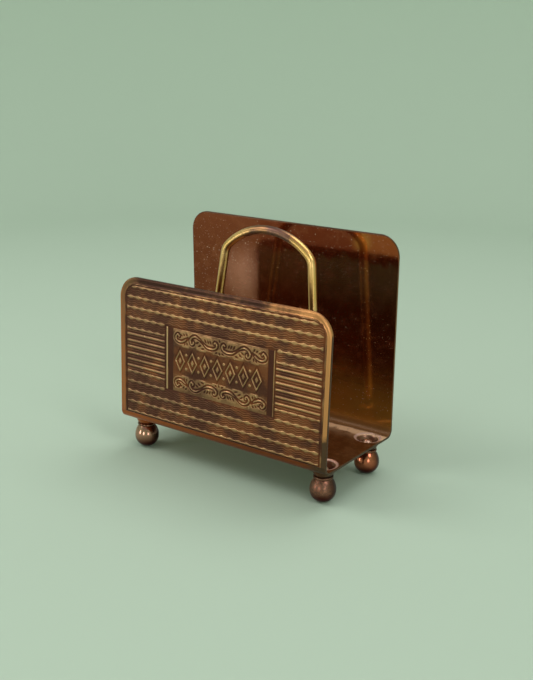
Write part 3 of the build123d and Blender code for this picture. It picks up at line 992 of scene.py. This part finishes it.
# %% Plain outside
RIM_UMBER = (0.060, 0.027, 0.019)
RIM_BROWN = (0.115, 0.051, 0.028)
RIM_TAN = (0.25, 0.122, 0.060)
RIM_GILT = (0.66, 0.285, 0.110)
SCUFFED_GREY = (0.115, 0.064, 0.038)
# Painted reflection: copper glow on the sheet's outside at its left end, most of it low down.
COPPER_GLOW = (0.47, 0.145, 0.046)
# Painted reflection on the outside bottom bend: copper glow on the left, fading to brown at the right.
BEND_COPPER_GLOW = (0.44, 0.118, 0.038)
BEND_GLOW_BROWN = (0.26, 0.068, 0.025)
BACK_UMBER = (0.17, 0.080, 0.040)
BACK_BRONZE = (0.29, 0.142, 0.060)
TAN_X = (-0.050, -0.058)
GILT_X = (0.022, 0.054)
CUT_EDGE_X = (0.0632, 0.0635)
COPPER_GLOW_LEFT = (-0.023, -0.042)
SCUFF_HEIGHTS = (0.014, 0.010)
BEND_GLOW_HEIGHTS = (0.0265, 0.0225)
BEND_GLOW_FADE_X = (-0.05, 0.03)
BEND_GREY_X = (0.050, 0.060)
BEHIND_Y = (-0.010, 0.015)
# Painted shade: the back plate's top edge in plain dark brown, so that it catches no highlight.
TOP_EDGE_SHADE = (0.1194, 0.1201)


def plain_brass():
    """Umber outside of the sheet: gilt at the right end, a painted copper glow of warm reflections on the
    left and low, bronze behind, and a top edge painted dark as shade.
    """
    material, place, shader = new_finish("plain_brass")
    across, depth, height = place.axes()
    clouds = place.noise(11)
    patches = place.noise(3.2)
    grain = place.noise(0.6, 4)
    stain = clouds + 0.6 * (patches - 0.5)
    rim = stain.step(0.45, 0.68).mix(RIM_UMBER, RIM_BROWN)
    rim = across.step(*TAN_X).mix(rim, RIM_TAN)
    gilt = (across + 0.03 * (stain - 0.5)).step(*GILT_X)
    # Painted reflection: the left end, more of it towards the bottom, is laid in copper glow.
    left = (across + 0.35 * height + 0.012 * (stain - 0.5)).step(*COPPER_GLOW_LEFT)
    scuffed = (height - 0.4 * across + 0.01 * (stain - 0.5)).step(*SCUFF_HEIGHTS)
    # Painted reflection: the bottom bend gets a copper glow that fades to brown, with scuffed grey at the
    # right end.
    low = (height + 0.005 * (stain - 0.5)).step(*BEND_GLOW_HEIGHTS)
    copper = (across + 0.06 * (stain - 0.5)).step(*BEND_GLOW_FADE_X).mix(BEND_COPPER_GLOW, BEND_GLOW_BROWN)
    copper = across.step(*BEND_GREY_X).mix(copper, SCUFFED_GREY)
    rubbed_and_glare = across.step(*CUT_EDGE_X).mix(scuffed.mix(RIM_GILT, SCUFFED_GREY), RIM_BROWN)
    upper = left.mix(gilt.mix(rim, rubbed_and_glare), COPPER_GLOW)
    behind = (place.noise(26) + 0.25 * (patches - 0.5)).step(0.30, 0.70).mix(BACK_UMBER, BACK_BRONZE)
    # Painted shade: the back plate's top edge is darkened to plain brown.
    behind = height.step(*TOP_EDGE_SHADE).mix(behind, RIM_BROWN)
    upper = depth.step(*BEHIND_Y).mix(upper, behind)
    feed(
        shader,
        Base_Color=low.mix(upper, copper),
        Roughness=0.34 + 0.16 * (clouds - 0.5) + 0.1 * (grain - 0.5),
        Normal=bump(grain, 0.03, 0.5),
    )
    return material


plain = counted(plain_brass())

# %% Polished inside
MIRROR_RED = (0.20, 0.046, 0.016)
MIRROR_BROWN = (0.14, 0.028, 0.005)
MIRROR_PINK = (0.34, 0.108, 0.048)
# Painted reflection: a soft rosy glare on the mirror, on its part left of the reflection's edge.
GLARE_ROSE = (0.46, 0.172, 0.108)
MIRROR_OLIVE = (0.205, 0.092, 0.032)
MIRROR_BAND = (0.150, 0.022, 0.004)
MIRROR_AMBER = (0.28, 0.062, 0.013)
# Gold of painted reflections: the wire's shoulder and the glow low on the back plate.
REFLECTED_GOLD = (0.44, 0.185, 0.031)
FLOOR_FILM = (0.165, 0.055, 0.013)
FLOOR_TAN = (0.27, 0.110, 0.038)
FLOOR_PIT = (0.25, 0.120, 0.070)
FLOOR_BEND = (0.20, 0.084, 0.022)
# Painted highlight: a bright tan band on the floor along the back bend.
BEND_HIGHLIGHT_TAN = (0.96, 0.620, 0.370)
# Pink of bare specks, and of the painted highlight ring on each dimple's lip.
LIP_HIGHLIGHT_AND_SPECK_PINK = (0.74, 0.470, 0.370)
GLARE_SPOT = Vector((-0.028, 0.0287, 0.090))
GLARE_REACH = (0.020, 0.002)
# Painted reflection: the wire's shoulder as a small gold spot on the back plate.
WIRE_REFLECTION_SPOT = Vector((0.0435, 0.0279, 0.1160))
WIRE_REFLECTION_REACH = (0.007, 0.001)
RED_X = (0.012, -0.022)
# Painted reflection edge: the red-brown tarnish gets a sharp border where the front plate's left end shows
# in the mirror.
RED_REFLECTION_EDGE_X = (-0.0180, -0.0205)
FLOOR_HEIGHTS = (0.026, 0.020)
# Painted reflection: a gold glow over the back plate's lower part.
REFLECTED_GLOW_HEIGHTS = (0.060, 0.024)
OLIVE_HEIGHTS = (0.078, 0.098)
BAND_HEIGHTS = (0.104, 0.108)
AMBER_HEIGHTS = (0.1075, 0.1125)
AMBER_X = (0.034, 0.046)
# Painted shade: the top edge inside in plain dark brown and rougher, so that it catches no highlight.
INNER_EDGE_SHADE = (0.1198, 0.1204)
BEND_Y = (0.0262, 0.0276)
BEND_HIGHLIGHT_START_Y = (0.013, 0.020)
BEND_HIGHLIGHT_Y = (0.0200, 0.0222)
# Squares of distances from a foot's axis, in millimetres.
LIP_HIGHLIGHT_INNER = (5.4**2, 6.0**2)
LIP_HIGHLIGHT_OUTER = (7.3**2, 6.6**2)
PIT_EDGE = (5.6**2, 5.0**2)


def polished_brass():
    """Tarnished mirror with painted reflections, and a dull film on the floor with painted highlights on
    the dimples' lips and along the back bend; the top edge is painted dark as shade.
    """
    material, place, shader = new_finish("polished_brass")
    across, depth, height = place.axes()
    clouds = place.noise(22)
    dull = place.noise(5, 4)
    fine = place.noise(1.1, 3)
    specks = place.noise(0.8, 1).step(0.705, 0.74)
    scratched = place.noise(0.5, 2, (0.06, 1, 1)).step(0.66, 0.74)
    from_spot = place.distance(GLARE_SPOT)
    # The part left of a sharp border, painted where the front plate's left end shows in the mirror.
    left = (across + 0.004 * (dull - 0.5)).step(*RED_REFLECTION_EDGE_X)
    # Painted reflection: a soft rosy glare round a spot on the left part of the mirror, a little rougher
    # there.
    rubbed_and_glare = (from_spot + 0.012 * (dull - 0.5)).step(*GLARE_REACH) * left
    low = (height + 0.004 * (clouds - 0.5)).step(*FLOOR_HEIGHTS)
    # Painted reflection: a gold glow low on the back plate, a little less metallic there.
    reflected_glow = (height + 0.02 * (clouds - 0.5)).step(*REFLECTED_GLOW_HEIGHTS)
    off_x = (place.math("ABSOLUTE", across, 0.0) - FOOT_X * MM) / MM
    off_y = (place.math("ABSOLUTE", depth, 0.0) - FOOT_Y * MM) / MM
    from_foot = off_x * off_x + off_y * off_y
    # Painted highlight: a pale ring on the lip of each dimple, less metallic there.
    lip_highlight = from_foot.step(*LIP_HIGHLIGHT_INNER) * from_foot.step(*LIP_HIGHLIGHT_OUTER) * low
    pit = from_foot.step(*PIT_EDGE)
    edge = depth + 0.003 * (dull - 0.5)
    bend = edge.step(*BEND_Y)
    # Painted highlight along the back bend, on the floor and clear of the dimples, less metallic there.
    bend_highlight = (0.3 * edge.step(*BEND_HIGHLIGHT_START_Y) + 0.7 * edge.step(*BEND_HIGHLIGHT_Y)) * (1 - bend) * low * (1 - pit)
    bare = (dull + 0.4 * (fine - 0.5)).step(0.18, 0.42)
    cloudy_height = height + 0.012 * (dull - 0.5)
    upper = cloudy_height.step(*OLIVE_HEIGHTS).mix(MIRROR_BROWN, MIRROR_OLIVE)
    band = cloudy_height.step(*BAND_HEIGHTS)
    upper = band.mix(upper, MIRROR_BAND)
    amber = cloudy_height.step(*AMBER_HEIGHTS) * across.step(*AMBER_X)
    upper = amber.mix(upper, MIRROR_AMBER)
    # Painted reflection of the wire's shoulder, in gold.
    upper = (0.6 * place.distance(WIRE_REFLECTION_SPOT).step(*WIRE_REFLECTION_REACH)).mix(upper, REFLECTED_GOLD)
    # Red-brown tarnish on the left, with its sharp border painted at the front plate's reflected end.
    red = 0.5 * left + 0.5 * (across + 0.05 * (clouds - 0.5)).step(*RED_X)
    mirror = red.mix(upper, MIRROR_RED)
    mottled = 0.5 * (dull + 0.6 * (fine - 0.5)).step(0.45, 0.75) + 0.3 * scratched
    mirror = (mottled * (1 - 0.6 * band)).mix(mirror, MIRROR_PINK)
    # Painted reflections: the gold glow low down, with the rosy glare on top of it.
    mirror = rubbed_and_glare.mix(reflected_glow.mix(mirror, REFLECTED_GOLD), GLARE_ROSE)
    film = (dull + 0.5 * (fine - 0.5)).step(0.40, 0.66).mix(FLOOR_FILM, FLOOR_TAN)
    film = pit.mix(bend.mix(film, FLOOR_BEND), FLOOR_PIT)
    # Painted highlights on the back bend and on the dimples' lips, broken up by noise.
    film = (lip_highlight * bare).mix((bend_highlight * bare).mix(film, BEND_HIGHLIGHT_TAN), LIP_HIGHLIGHT_AND_SPECK_PINK)
    # Painted shade: the inside top edge is darkened to plain brown and made rougher.
    rim = height.step(*INNER_EDGE_SHADE)
    smooth = 0.07 + 0.05 * clouds + 0.06 * (dull - 0.5)
    feed(
        shader,
        Base_Color=rim.mix((specks * (1 - 0.8 * low)).mix(low.mix(mirror, film), LIP_HIGHLIGHT_AND_SPECK_PINK), RIM_BROWN),
        Roughness=smooth + 0.12 * (rubbed_and_glare + scratched) + 0.2 * low * (1 + bend) + 0.3 * rim,
        Metallic=0.82 - 0.16 * reflected_glow - 0.3 * lip_highlight - 0.4 * bend_highlight - 0.4 * bend * low,
        Normal=bump(place.noise(30, 1), 0.16, 0.5),
    )
    return material


polished = counted(polished_brass())

# %% [markdown]
# ## Finishing a piece
# Every piece is modelled in millimetres at its real place. The last step is always the same: scale to
# metres, make an object at the origin, give it a finish, hide the solids it stands for and let it ride on
# the holder.


# %% Piece helper
def add_piece(bm, name, finishes, stands_for, sharp_degrees=35):
    """Turn a bmesh in millimetres into a piece of the holder."""
    bmesh.ops.scale(bm, vec=(MM, MM, MM), verts=bm.verts)
    piece = add_mesh(bm, name, finishes)
    piece.data.set_sharp_from_angle(angle=math.radians(sharp_degrees))
    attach(piece, "root")
    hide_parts(*stands_for)
    print(name, len(piece.data.vertices), "vertices")
    return piece


# %% Sheet pieces
RIM_BEVEL = 0.22
RIM_BEVEL_SEGMENTS = 2
RIM_BEVEL_DEGREES = 60
RELIEF_SHARP_DEGREES = 80


def finish_sheet(piece):
    """Give the sheet its thickness and round its cut edges."""
    solid = piece.modifiers.new("thickness", "SOLIDIFY")
    solid.thickness = SHEET_THICKNESS * MM
    solid.offset = -1
    solid.material_offset = 1
    edges = piece.modifiers.new("rounded_edges", "BEVEL")
    edges.width = RIM_BEVEL * MM
    edges.segments = RIM_BEVEL_SEGMENTS
    edges.limit_method = "ANGLE"
    edges.angle_limit = math.radians(RIM_BEVEL_DEGREES)


def add_sheet_piece(bm, name, finishes):
    """Add a piece that stands for the bent sheet or a part of it."""
    return add_piece(bm, name, finishes, ["letter_sheet"], RELIEF_SHARP_DEGREES)


finish_sheet(add_sheet_piece(sheet, "bent_sheet", [plain, polished]))
field = relief_grid(FIELD_COLUMNS, FIELD_ROWS, field_relief, FIELD_CORNER, follow_waves)
add_sheet_piece(field, "embossed_field", [embossed])
add_sheet_piece(relief_grid(PLAQUE_COLUMNS, PLAQUE_ROWS, plaque), "scroll_plaque", [embossed])

# %% [markdown]
# ## Turned pieces
# Feet, collars and washers come off a lathe. They could be stacked from spheres and cylinders, but then
# their necks would not flow. Here an outline, spun a full turn about its axis as on the lathe, makes each
# of them. Round stretches of an outline are arcs.

# %% Lathe helpers
TURN_STEPS = 64
MERGE_DISTANCE = 1e-4


def arc(centre, radius, start_degrees, end_degrees, steps):
    """Points of an arc in the outline's plane."""
    angles = np.radians(np.linspace(start_degrees, end_degrees, steps + 1))
    return [(centre[0] + radius * math.cos(a), centre[1] + radius * math.sin(a)) for a in angles]


def turned(outline, place):
    """Turned piece that stands at a place."""
    bm = spun(outline, TURN_STEPS, MERGE_DISTANCE)
    bmesh.ops.recalc_face_normals(bm, faces=bm.faces)
    bmesh.ops.translate(bm, vec=place, verts=bm.verts)
    return bm


print("a full turn in", TURN_STEPS, "steps")

# %% Ball feet
BALL_RADIUS = 6.4
BALL_FLAT = 1.5
BALL_MIDDLE = math.sqrt(BALL_RADIUS**2 - BALL_FLAT**2)
SEAT_HEIGHT = FLOOR_HEIGHT - DIMPLE_DEPTH
NECK_RADIUS = 4.9
NECK_HEIGHT = 1.6
NECK_GROOVE = 4.35
STUD_RADIUS = 1.6
WASHER_THICKNESS = 0.6
WASHER_RADIUS = 3.0
HEAD_RADIUS = 2.7
HEAD_RIM = 0.3
HEAD_HEIGHT = 2.6
BROKEN_EDGE = 0.12
FIT = 0.1


def foot_outline():
    """Ball that draws in to a groove, a neck ring, and a stud with a peened head."""
    low_angle = -math.degrees(math.acos(BALL_FLAT / BALL_RADIUS))
    ring_low = SEAT_HEIGHT - NECK_HEIGHT
    climb = ring_low - BALL_MIDDLE
    centre = (BALL_RADIUS**2 - NECK_GROOVE**2 - climb**2) / (2 * (BALL_RADIUS - NECK_GROOVE))
    top_angle = math.degrees(math.atan2(climb, NECK_GROOVE - centre))
    ring = NECK_HEIGHT / 2
    head_low = SEAT_HEIGHT + SHEET_THICKNESS + WASHER_THICKNESS
    dome = HEAD_HEIGHT - HEAD_RIM
    dome_radius = (HEAD_RADIUS**2 + dome**2) / (2 * dome)
    dome_angle = math.degrees(math.asin(HEAD_RADIUS / dome_radius))
    dome_centre = (0, head_low + HEAD_HEIGHT - dome_radius)
    return [
        (0, 0),
        *arc((0, BALL_MIDDLE), BALL_RADIUS, low_angle, 0, 18),
        *arc((centre, BALL_MIDDLE), BALL_RADIUS - centre, 0, top_angle, 10)[1:],
        *arc((NECK_RADIUS - ring, ring_low + ring), ring, -60, 90, 6),
        (STUD_RADIUS, SEAT_HEIGHT),
        (STUD_RADIUS, head_low),
        (HEAD_RADIUS, head_low),
        *arc(dome_centre, dome_radius, 90 - dome_angle, 90, 9),
    ]


def washer_outline(bore, radius, low, high):
    """Washer with slightly broken edges."""
    inner = radius - BROKEN_EDGE
    return [
        (bore, low), (inner, low), (radius, low + BROKEN_EDGE), (radius, high - BROKEN_EDGE),
        (inner, high), (bore, high), (bore, low),
    ]


print("balls", 2 * BALL_RADIUS, "mm wide")

# %% [markdown]
# ## Finish of the feet
# The balls are brown and still shine. Each is painted almost black below and on the side that is turned to
# the right rear, as shade and dark reflections. They have not aged alike: the left ones are tan, a tone
# that also stands for light falling from the left, the back right one is red and the front right one is
# scuffed.
# Four finishes could say so, but one that knows its place on the holder does the same.

# %% Bronzed feet
# Painted shade and dark reflection on the underside of each ball.
SHADED_UNDERSIDE_MAROON = (0.075, 0.008, 0.006)
# Painted shade on each ball's right rear side.
SHADED_SIDE_PLUM = (0.055, 0.020, 0.018)
BALL_BROWN = (0.27, 0.105, 0.066)
BALL_ROSE = (0.39, 0.175, 0.112)
BALL_RED = (0.52, 0.160, 0.085)
BALL_GREY = (0.17, 0.085, 0.062)
# Tan of the left feet: partly their tone, partly painted light falling from the left.
BALL_TAN = (0.52, 0.285, 0.200)
RING_TAN = (0.19, 0.090, 0.058)
HEAD_ROSE = (0.66, 0.42, 0.31)
LEFT_FEET_X = (0.0, -0.03)
RIGHT_FEET_X = (0.0, 0.03)
FRONT_FEET_Y = (0.0, -0.01)
BACK_FEET_Y = (0.0, 0.01)
SHADED_SIDE_REACH = (-0.0005, 0.0050)
SHADED_UNDERSIDE_HEIGHTS = (0.0072, 0.0028)
RING_HEIGHTS = (0.0118, 0.0124)
HEAD_HEIGHTS = (0.0146, 0.0152)


def bronzed_brass():
    """Brown polished feet with painted shade below and on their right rear sides, and bare peened heads."""
    material, place, shader = new_finish("bronzed_brass")
    across, depth, height = place.axes()
    clouds = place.noise(9, 2)
    specks = place.noise(0.9, 3)
    brown = (clouds + 0.3 * (specks - 0.5)).step(0.42, 0.70).mix(BALL_BROWN, BALL_ROSE)
    # The left feet are paler: partly tone, partly painted light falling from the left.
    brown = (0.7 * across.step(*LEFT_FEET_X)).mix(brown, BALL_TAN)
    # Painted shade: the balls darken to maroon towards the bottom.
    low = (height + 0.004 * (clouds - 0.5)).step(*SHADED_UNDERSIDE_HEIGHTS)
    off_x = across - FOOT_X * MM * place.math("SIGN", across, 0.0)
    off_y = depth - FOOT_Y * MM * place.math("SIGN", depth, 0.0)
    # Painted shade: each ball darkens to plum on its right rear side.
    shaded_side = (0.6 * off_x + 0.8 * off_y + 0.004 * (clouds - 0.5)).step(*SHADED_SIDE_REACH)
    ring = height.step(*RING_HEIGHTS)
    head = height.step(*HEAD_HEIGHTS)
    right = across.step(*RIGHT_FEET_X) * (1 - head)
    scuffed = right * depth.step(*FRONT_FEET_Y)
    brown = (right * depth.step(*BACK_FEET_Y)).mix(brown, BALL_RED)
    brown = (scuffed * specks.step(0.35, 0.65)).mix(brown, BALL_GREY)
    ball = low.mix(shaded_side.mix(brown, SHADED_SIDE_PLUM), SHADED_UNDERSIDE_MAROON)
    feed(
        shader,
        Base_Color=head.mix((ring * (1 - shaded_side)).mix(ball, RING_TAN), HEAD_ROSE),
        Roughness=0.18 + 0.1 * (specks - 0.5) + 0.1 * (clouds - 0.5) + 0.16 * head + 0.2 * scuffed,
        Normal=bump(specks, 0.03, 0.35),
    )
    return material


bronzed = counted(bronzed_brass())

# %% Feet and their washers
SEAT_TOP = SEAT_HEIGHT + SHEET_THICKNESS
foot_washer = washer_outline(STUD_RADIUS + FIT, WASHER_RADIUS, SEAT_TOP, SEAT_TOP + WASHER_THICKNESS)
for end, end_sign in (("front", -1), ("back", 1)):
    for side, side_sign in (("left", -1), ("right", 1)):
        corner = f"{end}_{side}"
        axis = (side_sign * FOOT_X, end_sign * FOOT_Y, 0)
        foot = turned(foot_outline(), axis)
        add_piece(foot, f"ball_foot_{corner}", [bronzed], [f"foot_{corner}"])
        washer = turned(foot_washer, axis)
        add_piece(washer, f"dimple_washer_{corner}", [bronzed], [f"foot_washer_{corner}"])

# %% [markdown]
# ## The wire handle
# The handle is one wire: upright stubs, long legs that lean inwards, two shoulder bends and a rounded
# crown. A curve with a round section would do, but its bends would not be true arcs. So a ring of vertices
# follows the same route as a wire bender's hands. Straight runs are extruded, bends are spun.

# %% Route of the wire
WIRE_RADIUS = 2.15
HANDLE_Y = 4.0
LEG_HALF = 35.4
STUB = 7.0
HANDLE_HEIGHT = 103.5
HANDLE_TOP = FLOOR_TOP + HANDLE_HEIGHT
SHOULDER_HALF = 25.9
SHOULDER_RADIUS = 8.5
LEG_BEND_RADIUS = 20.0
CROWN_SLOPE = math.radians(40.7)
CROWN_FILL = 0.97
HANDLE_SWAY = 4.1
RING_STEPS = 28
BEND_STEP_DEGREES = 4
BEND_STEPS_MIN = 4


def wire_corners():
    """Corners of the wire's route in its own plane, with the radius of each bend."""
    leg_angle = math.atan2(HANDLE_TOP - FLOOR_TOP - STUB, LEG_HALF - SHOULDER_HALF)
    shoulder_tangent = SHOULDER_RADIUS * math.tan((leg_angle - CROWN_SLOPE) / 2)
    crown_tangent = CROWN_FILL * (SHOULDER_HALF / math.cos(CROWN_SLOPE) - shoulder_tangent)
    crown_radius = crown_tangent / math.tan(CROWN_SLOPE)
    peak = HANDLE_TOP - WIRE_RADIUS + crown_radius * (1 / math.cos(CROWN_SLOPE) - 1)
    shoulder = peak - SHOULDER_HALF * math.tan(CROWN_SLOPE)
    stub_top = FLOOR_TOP + STUB
    return [
        ((-LEG_HALF, FLOOR_TOP), 0),
        ((-LEG_HALF, stub_top), LEG_BEND_RADIUS),
        ((HANDLE_SWAY - SHOULDER_HALF, shoulder), SHOULDER_RADIUS),
        ((HANDLE_SWAY, peak), crown_radius),
        ((HANDLE_SWAY + SHOULDER_HALF, shoulder), SHOULDER_RADIUS),
        ((LEG_HALF, stub_top), LEG_BEND_RADIUS),
        ((LEG_HALF, FLOOR_TOP), 0),
    ]


def edges_of(geometry):
    """The edges in an operator's result."""
    return [g for g in geometry if isinstance(g, bmesh.types.BMEdge)]


def verts_of(geometry):
    """The vertices in an operator's result."""
    return [g for g in geometry if isinstance(g, bmesh.types.BMVert)]


def bent_wire():
    """Ring of vertices drawn along the route."""
    corners = [(Vector((x, HANDLE_Y, z)), radius) for (x, z), radius in wire_corners()]
    bm = bmesh.new()
    start = Matrix.Translation(corners[0][0])
    bmesh.ops.create_circle(bm, segments=RING_STEPS, radius=WIRE_RADIUS, cap_ends=True, matrix=start)
    loop = list(bm.edges)
    here = corners[0][0]
    for (corner, radius), (after, _) in zip(corners[1:], corners[2:]):
        way = (corner - here).normalized()
        next_way = (after - corner).normalized()
        turn = way.angle(next_way)
        stop = corner - way * radius * math.tan(turn / 2)
        run = bmesh.ops.extrude_edge_only(bm, edges=loop)["geom"]
        bmesh.ops.translate(bm, vec=stop - here, verts=verts_of(run))
        axis = way.cross(next_way).normalized()
        centre = stop + axis.cross(way) * radius
        steps = max(BEND_STEPS_MIN, round(math.degrees(turn) / BEND_STEP_DEGREES))
        bend = bmesh.ops.spin(
            bm, geom=edges_of(run) + verts_of(run), cent=centre, axis=axis, angle=turn, steps=steps
        )["geom_last"]
        loop = edges_of(bend)
        here = corner + next_way * radius * math.tan(turn / 2)
    run = bmesh.ops.extrude_edge_only(bm, edges=loop)["geom"]
    bmesh.ops.translate(bm, vec=corners[-1][0] - here, verts=verts_of(run))
    bmesh.ops.contextual_create(bm, geom=edges_of(run))
    bmesh.ops.remove_doubles(bm, verts=bm.verts, dist=MERGE_DISTANCE)
    bmesh.ops.recalc_face_normals(bm, faces=bm.faces)
    return bm


print("wire through", len(wire_corners()), "corners")

# %% [markdown]
# ## Finish of the wire
# The wire is the brightest piece, for it is rubbed on all sides. Its legs are gold with olive spots, and
# its crown has dulled to a rosy brown. One even gold would look new, so clouds of noise spread the spots,
# and the same clouds make them a little rougher.

# %% Worn wire
WIRE_GOLD = (0.86, 0.50, 0.165)
WIRE_PALE = (0.90, 0.54, 0.22)
WIRE_ROSE = (0.31, 0.155, 0.072)
CROWN_DULL_X = 0.006
CROWN_DULL_REACH = (0.020, 0.007)
WIRE_OLIVE = (0.24, 0.125, 0.050)
WIRE_PLUM = (0.19, 0.098, 0.072)
LEG_FOOT_HEIGHTS = (0.026, 0.022)


def wire_brass():
    """Worn bright wire with darker patches, most of them on the crown."""
    material, place, shader = new_finish("wire_brass")
    across, _, height = place.axes()
    clouds = place.noise(8, 4)
    grain = place.noise(0.7, 3)
    crown = place.math("ABSOLUTE", across - CROWN_DULL_X, 0.0).step(*CROWN_DULL_REACH)
    bright = crown.mix(place.noise(16).step(0.4, 0.6).mix(WIRE_GOLD, WIRE_PALE), WIRE_ROSE)
    dark = crown.mix(WIRE_OLIVE, WIRE_PLUM)
    shade = 0.17 * crown + 0.3 * height.step(*LEG_FOOT_HEIGHTS)
    tarnish = (clouds + 0.4 * (grain - 0.5) + shade).step(0.60, 0.74)
    feed(
        shader,
        Base_Color=tarnish.mix(bright, dark),
        Roughness=0.3 + 0.1 * tarnish + 0.14 * (grain - 0.5),
        Normal=bump(grain, 0.04, 0.5),
    )
    return material


wire = counted(wire_brass())

# %% Ends of the legs
SPIGOT_RADIUS = 1.5
SPIGOT_EMBED = 0.5
SPIGOT_TOP = FLOOR_TOP + SPIGOT_EMBED
LEG_WASHER_RADIUS = 4.0
LEG_WASHER_THICKNESS = 0.8
LEG_WASHER_LOW = FLOOR_HEIGHT - LEG_WASHER_THICKNESS
LEG_HEAD_RADIUS = 2.6
LEG_HEAD_HEIGHT = 1.1
LEG_HEAD_CURVE = [(1, 0), (0.94, 0.5), (0.7, 0.9), (0, 1)]
COLLAR_RADIUS = 5.0
COLLAR_TOP_RADIUS = 2.8
COLLAR_HEIGHT = 3.2
COLLAR_RIM = 0.7
COLLAR_STEPS = 8


def leg_end_outline():
    """Spigot that goes through the floor and the peened head under its washer."""
    head = [(LEG_HEAD_RADIUS * r, LEG_WASHER_LOW - LEG_HEAD_HEIGHT * h) for r, h in LEG_HEAD_CURVE]
    return [(0, SPIGOT_TOP), (SPIGOT_RADIUS, SPIGOT_TOP), (SPIGOT_RADIUS, LEG_WASHER_LOW), *head]


def collar_outline():
    """Collar that flares out to the floor."""
    top = FLOOR_TOP + COLLAR_HEIGHT
    rim = FLOOR_TOP + COLLAR_RIM
    bore = WIRE_RADIUS + FIT
    flare = []
    for share in np.linspace(0, 1, COLLAR_STEPS + 1):
        radius = COLLAR_TOP_RADIUS + (COLLAR_RADIUS - COLLAR_TOP_RADIUS) * (1 - share) ** 2
        flare.append((radius, rim + (top - rim) * share))
    return [(bore, FLOOR_TOP), (COLLAR_RADIUS, FLOOR_TOP), *flare, (bore, top), (bore, FLOOR_TOP)]


def handle():
    """The bent wire with its two peened ends."""
    bm = bent_wire()
    for side_sign in (-1, 1):
        end = turned(leg_end_outline(), (side_sign * LEG_HALF, HANDLE_Y, 0))
        part = bpy.data.meshes.new("leg_end")
        end.to_mesh(part)
        end.free()
        bm.from_mesh(part)
        bpy.data.meshes.remove(part)
    return bm


print("legs", 2 * LEG_HALF, "mm apart")

# %% Handle, collars and leg washers
add_piece(handle(), "arched_wire", [wire], ["wire_handle"])
leg_washer = washer_outline(SPIGOT_RADIUS + FIT, LEG_WASHER_RADIUS, LEG_WASHER_LOW, FLOOR_HEIGHT)
for side, side_sign in (("left", -1), ("right", 1)):
    axis = (side_sign * LEG_HALF, HANDLE_Y, 0)
    collar = turned(collar_outline(), axis)
    add_piece(collar, f"leg_collar_{side}", [wire], [f"handle_collar_{side}"])
    washer = turned(leg_washer, axis)
    add_piece(washer, f"leg_washer_{side}", [wire], [f"handle_washer_{side}"])
